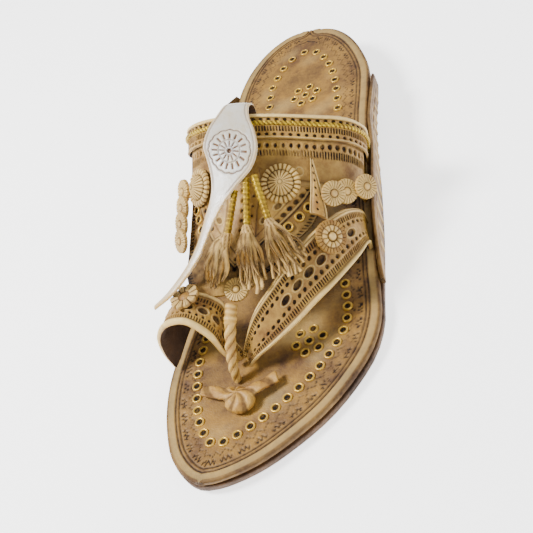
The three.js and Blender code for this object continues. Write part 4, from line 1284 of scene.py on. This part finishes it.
# Each tube's top and bottom, the fringe's end and spread, and how far the top is tucked under the tongue.
TASSELS = [
    [[13.2, -34.4, 54.6], [10.6, -46.6, 45.9], [2.6, -63.0, 37.6], 5.6, [1.0, 5.0, 1.6]],
    [[19.6, -27.4, 57.6], [19.2, -43.4, 45.6], [21.6, -64.6, 34.4], 6.4, [0, 2.0, 1.2]],
    [[23.6, -25.6, 58.0], [29.7, -41.4, 45.8], [39.0, -57.0, 35.6], 7.8, [-0.6, 1.4, 0.4]],
]


class SANDAL_OT_tassels(bpy.types.Operator):
    """Gilt tubes and the leather fringes that hang from them"""
    bl_idname = "sandal.tassels"
    bl_label = "Tubes and tassels"

    def execute(self, context):
        chance = random.Random(11)
        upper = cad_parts["upper"].data
        polygons = [tuple(p.vertices) for p in upper.polygons]
        ground = BVHTree.FromPolygons([tuple(c) for c in to_last(vertex_places(upper))], polygons)

        def wound(s, a):
            bead = np.abs(np.cos(s * 1.5))
            plait = np.cos(s * 3.0 + 3 * a) * np.cos(s * 3.0 - 3 * a)
            gap = 1 - smooth(bead * 2.6)
            dark = 0.9 * gap + 0.35 * smooth(-plait * 1.5)
            return 0.76 + 0.15 * bead + 0.05 * plait, dark, 0.4 * smooth(plait)

        def ribbon(s, a):
            turn = a + s * 0.09
            flat = 0.36 / np.sqrt((0.36 * np.cos(turn)) ** 2 + np.sin(turn) ** 2)
            # Painted shade at the ribbon's edges, where the gaps between ribbons lie, and near the gathered
            # head.
            dark = 0.8 * smooth((np.abs(np.cos(turn)) - 0.86) / 0.1) + 0.12 * (1 - smooth(s / 6))
            return flat, dark, 0.5 * np.abs(np.sin(turn))

        def gathered(s, a):
            crease = np.abs(np.cos(4.5 * a + 0.4 * s))
            # Painted shade in the creases of the gathered head.
            return 0.86 + 0.16 * crease, 0.8 * (1 - smooth(crease * 2.5)), 0.4 * crease

        for number, (top, bottom, end, spread, tuck) in enumerate(TASSELS, 1):
            above = np.array(top) + np.array(tuck)
            pipe = tube(f"gilt_tube_{number}", [above, bottom], 1.75, 32, 130, "gold", wound)
            placed(pipe, "gold_wire", f"gold_tube_{number}")
            start = np.array(bottom) + (np.array(top) - np.array(bottom)) * 0.05
            run = np.array(end) - start
            side = unit(np.cross(run, [0, 0, 1.0]))
            head = [start - (start - np.array(top)) * 0.06, start, start + run * 0.1, start + run * 0.24]
            strands = [tube(f"head_{number}", head, [1.9, 2.3, 3.0, 2.9], 40, 16, "strand", gathered)]
            for k in range(15):
                lowest = k < 8
                fan = -1 + 2 * k / 7 + chance.uniform(-0.12, 0.12) if lowest else chance.uniform(-0.85, 0.85)
                layer = 0.2 if lowest else chance.uniform(1.4, 3.2)
                reach = 1.04 - 0.16 * fan * fan + chance.uniform(-0.14, 0.06)
                sway = chance.uniform(0, 6.3)
                path = []
                for q in (0, 0.16, 0.34, 0.52, 0.7, 0.85, 1.0):
                    width = spread * (0.2 + 0.8 * smooth(q * 0.95 + 0.05))
                    wave = 1.5 * math.sin(sway + q * 7.5) * q
                    point = start + run * q * reach + side * (fan * width + wave)
                    hit = ground.ray_cast(Vector((point[0], point[1], 120)), Vector((0, 0, -1)))[0]
                    floor = hit.z + 0.8 + layer if hit else -50
                    arch = (0.8 + layer * 1.1) * math.sin(math.pi * min(1, q * 1.15))
                    point[2] = max(point[2] + arch - 3.2 * q * q, floor)
                    path.append(point)
                size = chance.uniform(0.9, 1.15)
                radii = [1.1 * size, 1.6 * size, 1.75 * size, 1.7 * size, 1.3 * size]
                strands.append(tube(f"strand_{number}_{k}", path, radii, 10, 22, "strand", ribbon))
            fringe = joined(strands, f"fringe_{number}")
            placed(fringe, "tassel_leather", f"tassel_{number}")
        return {"FINISHED"}


# Lines of eyelets round the heel seat and round the ball: x, y.
HEEL_RING = [[-11.7, 75.2], [-13.5, 92.3], [-7, 114.2], [2.8, 119.5], [13.7, 110.9], [22.8, 92.7], [29.9, 66]]
BALL_RING = [
    [48.1, -39.9], [52.3, -60.3], [46.1, -80.3], [30, -102.1], [11.4, -118.8], [4, -121.5], [-5.8, -111.1],
    [-14.6, -84.8], [-15.6, -67.2],
]


def spaced(points, count):
    """Places evenly along a smooth line."""
    flat_points = np.array([[x, y, 0.0] for x, y in points])
    fine = curve_at(flat_points, np.linspace(0, 1, 600))
    run = run_of(fine)
    want = np.linspace(0, run[-1], count)
    return [(np.interp(w, run, fine[:, 0]), np.interp(w, run, fine[:, 1])) for w in want]


class SANDAL_OT_eyelets(bpy.types.Operator):
    """Brass eyelets set in the footbed and on the sides of the vamp"""
    bl_idname = "sandal.eyelets"
    bl_label = "Eyelets"

    def execute(self, context):
        def grommet(r, a):
            ring = arch(r, 0.76, 0.24)
            return 0.1 + 0.6 * ring, 1, (r < 0.58) * 2.0, 0.4 * ring

        first = disc("eyelet", (np.zeros(3), np.array([0.0, 0.0, 1.0])), 2.5, 24, 10, "brass", grommet)
        spots = spaced(HEEL_RING, 15) + spaced(BALL_RING, 26)
        rings = ((8.5, 80.8, 6.5, 20), (36.8, -70.2, 6.3, 84))
        spots += [ring[:2] for ring in rings]
        for k in range(6):
            for x, y, far, start in rings:
                a = math.radians(start + 60 * k)
                spots.append((x + far * math.cos(a), y + far * math.sin(a)))
        model = to_last(vertex_places(first.data))
        seats = []
        for x, y in spots:
            rise = footbed_z(np.array([y - 0.5, y, y + 0.5]))
            seats.append((np.array([x, y, rise[1]]), np.array([0, rise[0] - rise[2], 1.0])))
        vamp = upper_faces()["vamp"]
        for along, across in SIDE_EYELETS:
            u = float(np.interp(along, vamp.run, vamp.u_steps))
            v = across / float(np.interp(u, vamp.u_steps, vamp.width))
            seats += [vamp.spot(u, v, -0.5), vamp.spot(u, 1 - v, -0.5)]
        copies = []
        for number, (centre, normal) in enumerate(seats):
            twin = duplicate(first, f"eyelet_{number}")
            up = unit(normal)
            side = unit(np.cross([0, 1.0, 0], up))
            turned = centre + model @ np.stack([side, np.cross(up, side), up])
            twin.data.vertices.foreach_set("co", to_frame(turned).ravel())
            twin.data.update()
            copies.append(twin)
        select_only(first)
        bpy.ops.object.delete()
        placed(joined(copies, "brass_eyelets"), "gold_wire")
        return {"FINISHED"}


# ------------------------------------------------------------------ panel and main
OPERATORS = (
    SANDAL_OT_stage, SANDAL_OT_sole, SANDAL_OT_flaps, SANDAL_OT_band, SANDAL_OT_vamp, SANDAL_OT_straps,
    SANDAL_OT_tongue, SANDAL_OT_thong, SANDAL_OT_ornaments, SANDAL_OT_tassels, SANDAL_OT_eyelets,
)


class SANDAL_PT_panel(bpy.types.Panel):
    """Sizes, colours and pieces of the sandal"""
    bl_label = "Sandal"
    bl_idname = "SANDAL_PT_panel"
    bl_space_type = "VIEW_3D"
    bl_region_type = "UI"
    bl_category = "Sandal"

    def draw(self, context):
        layout = self.layout
        for group in (context.scene.sandal_sizes, context.scene.sandal_colours):
            box = layout.box()
            for name in group.__annotations__:
                box.prop(group, name)
        for operator in OPERATORS:
            layout.operator(operator.bl_idname)


CLASSES = (SandalColours, SandalSizes, *OPERATORS, SANDAL_PT_panel)


def register():
    for cls in CLASSES:
        bpy.utils.register_class(cls)
    bpy.types.Scene.sandal_colours = PointerProperty(type=SandalColours)
    bpy.types.Scene.sandal_sizes = PointerProperty(type=SandalSizes)


def unregister():
    del bpy.types.Scene.sandal_sizes
    del bpy.types.Scene.sandal_colours
    for cls in reversed(CLASSES):
        bpy.utils.unregister_class(cls)


def main():
    register()
    bpy.ops.sandal.stage()
    bpy.ops.sandal.sole()
    bpy.ops.sandal.flaps()
    bpy.ops.sandal.band()
    bpy.ops.sandal.vamp()
    bpy.ops.sandal.straps()
    bpy.ops.sandal.tongue()
    bpy.ops.sandal.thong()
    bpy.ops.sandal.ornaments()
    bpy.ops.sandal.tassels()
    bpy.ops.sandal.eyelets()
    deselect_all()


if __name__ == "__main__":
    main()
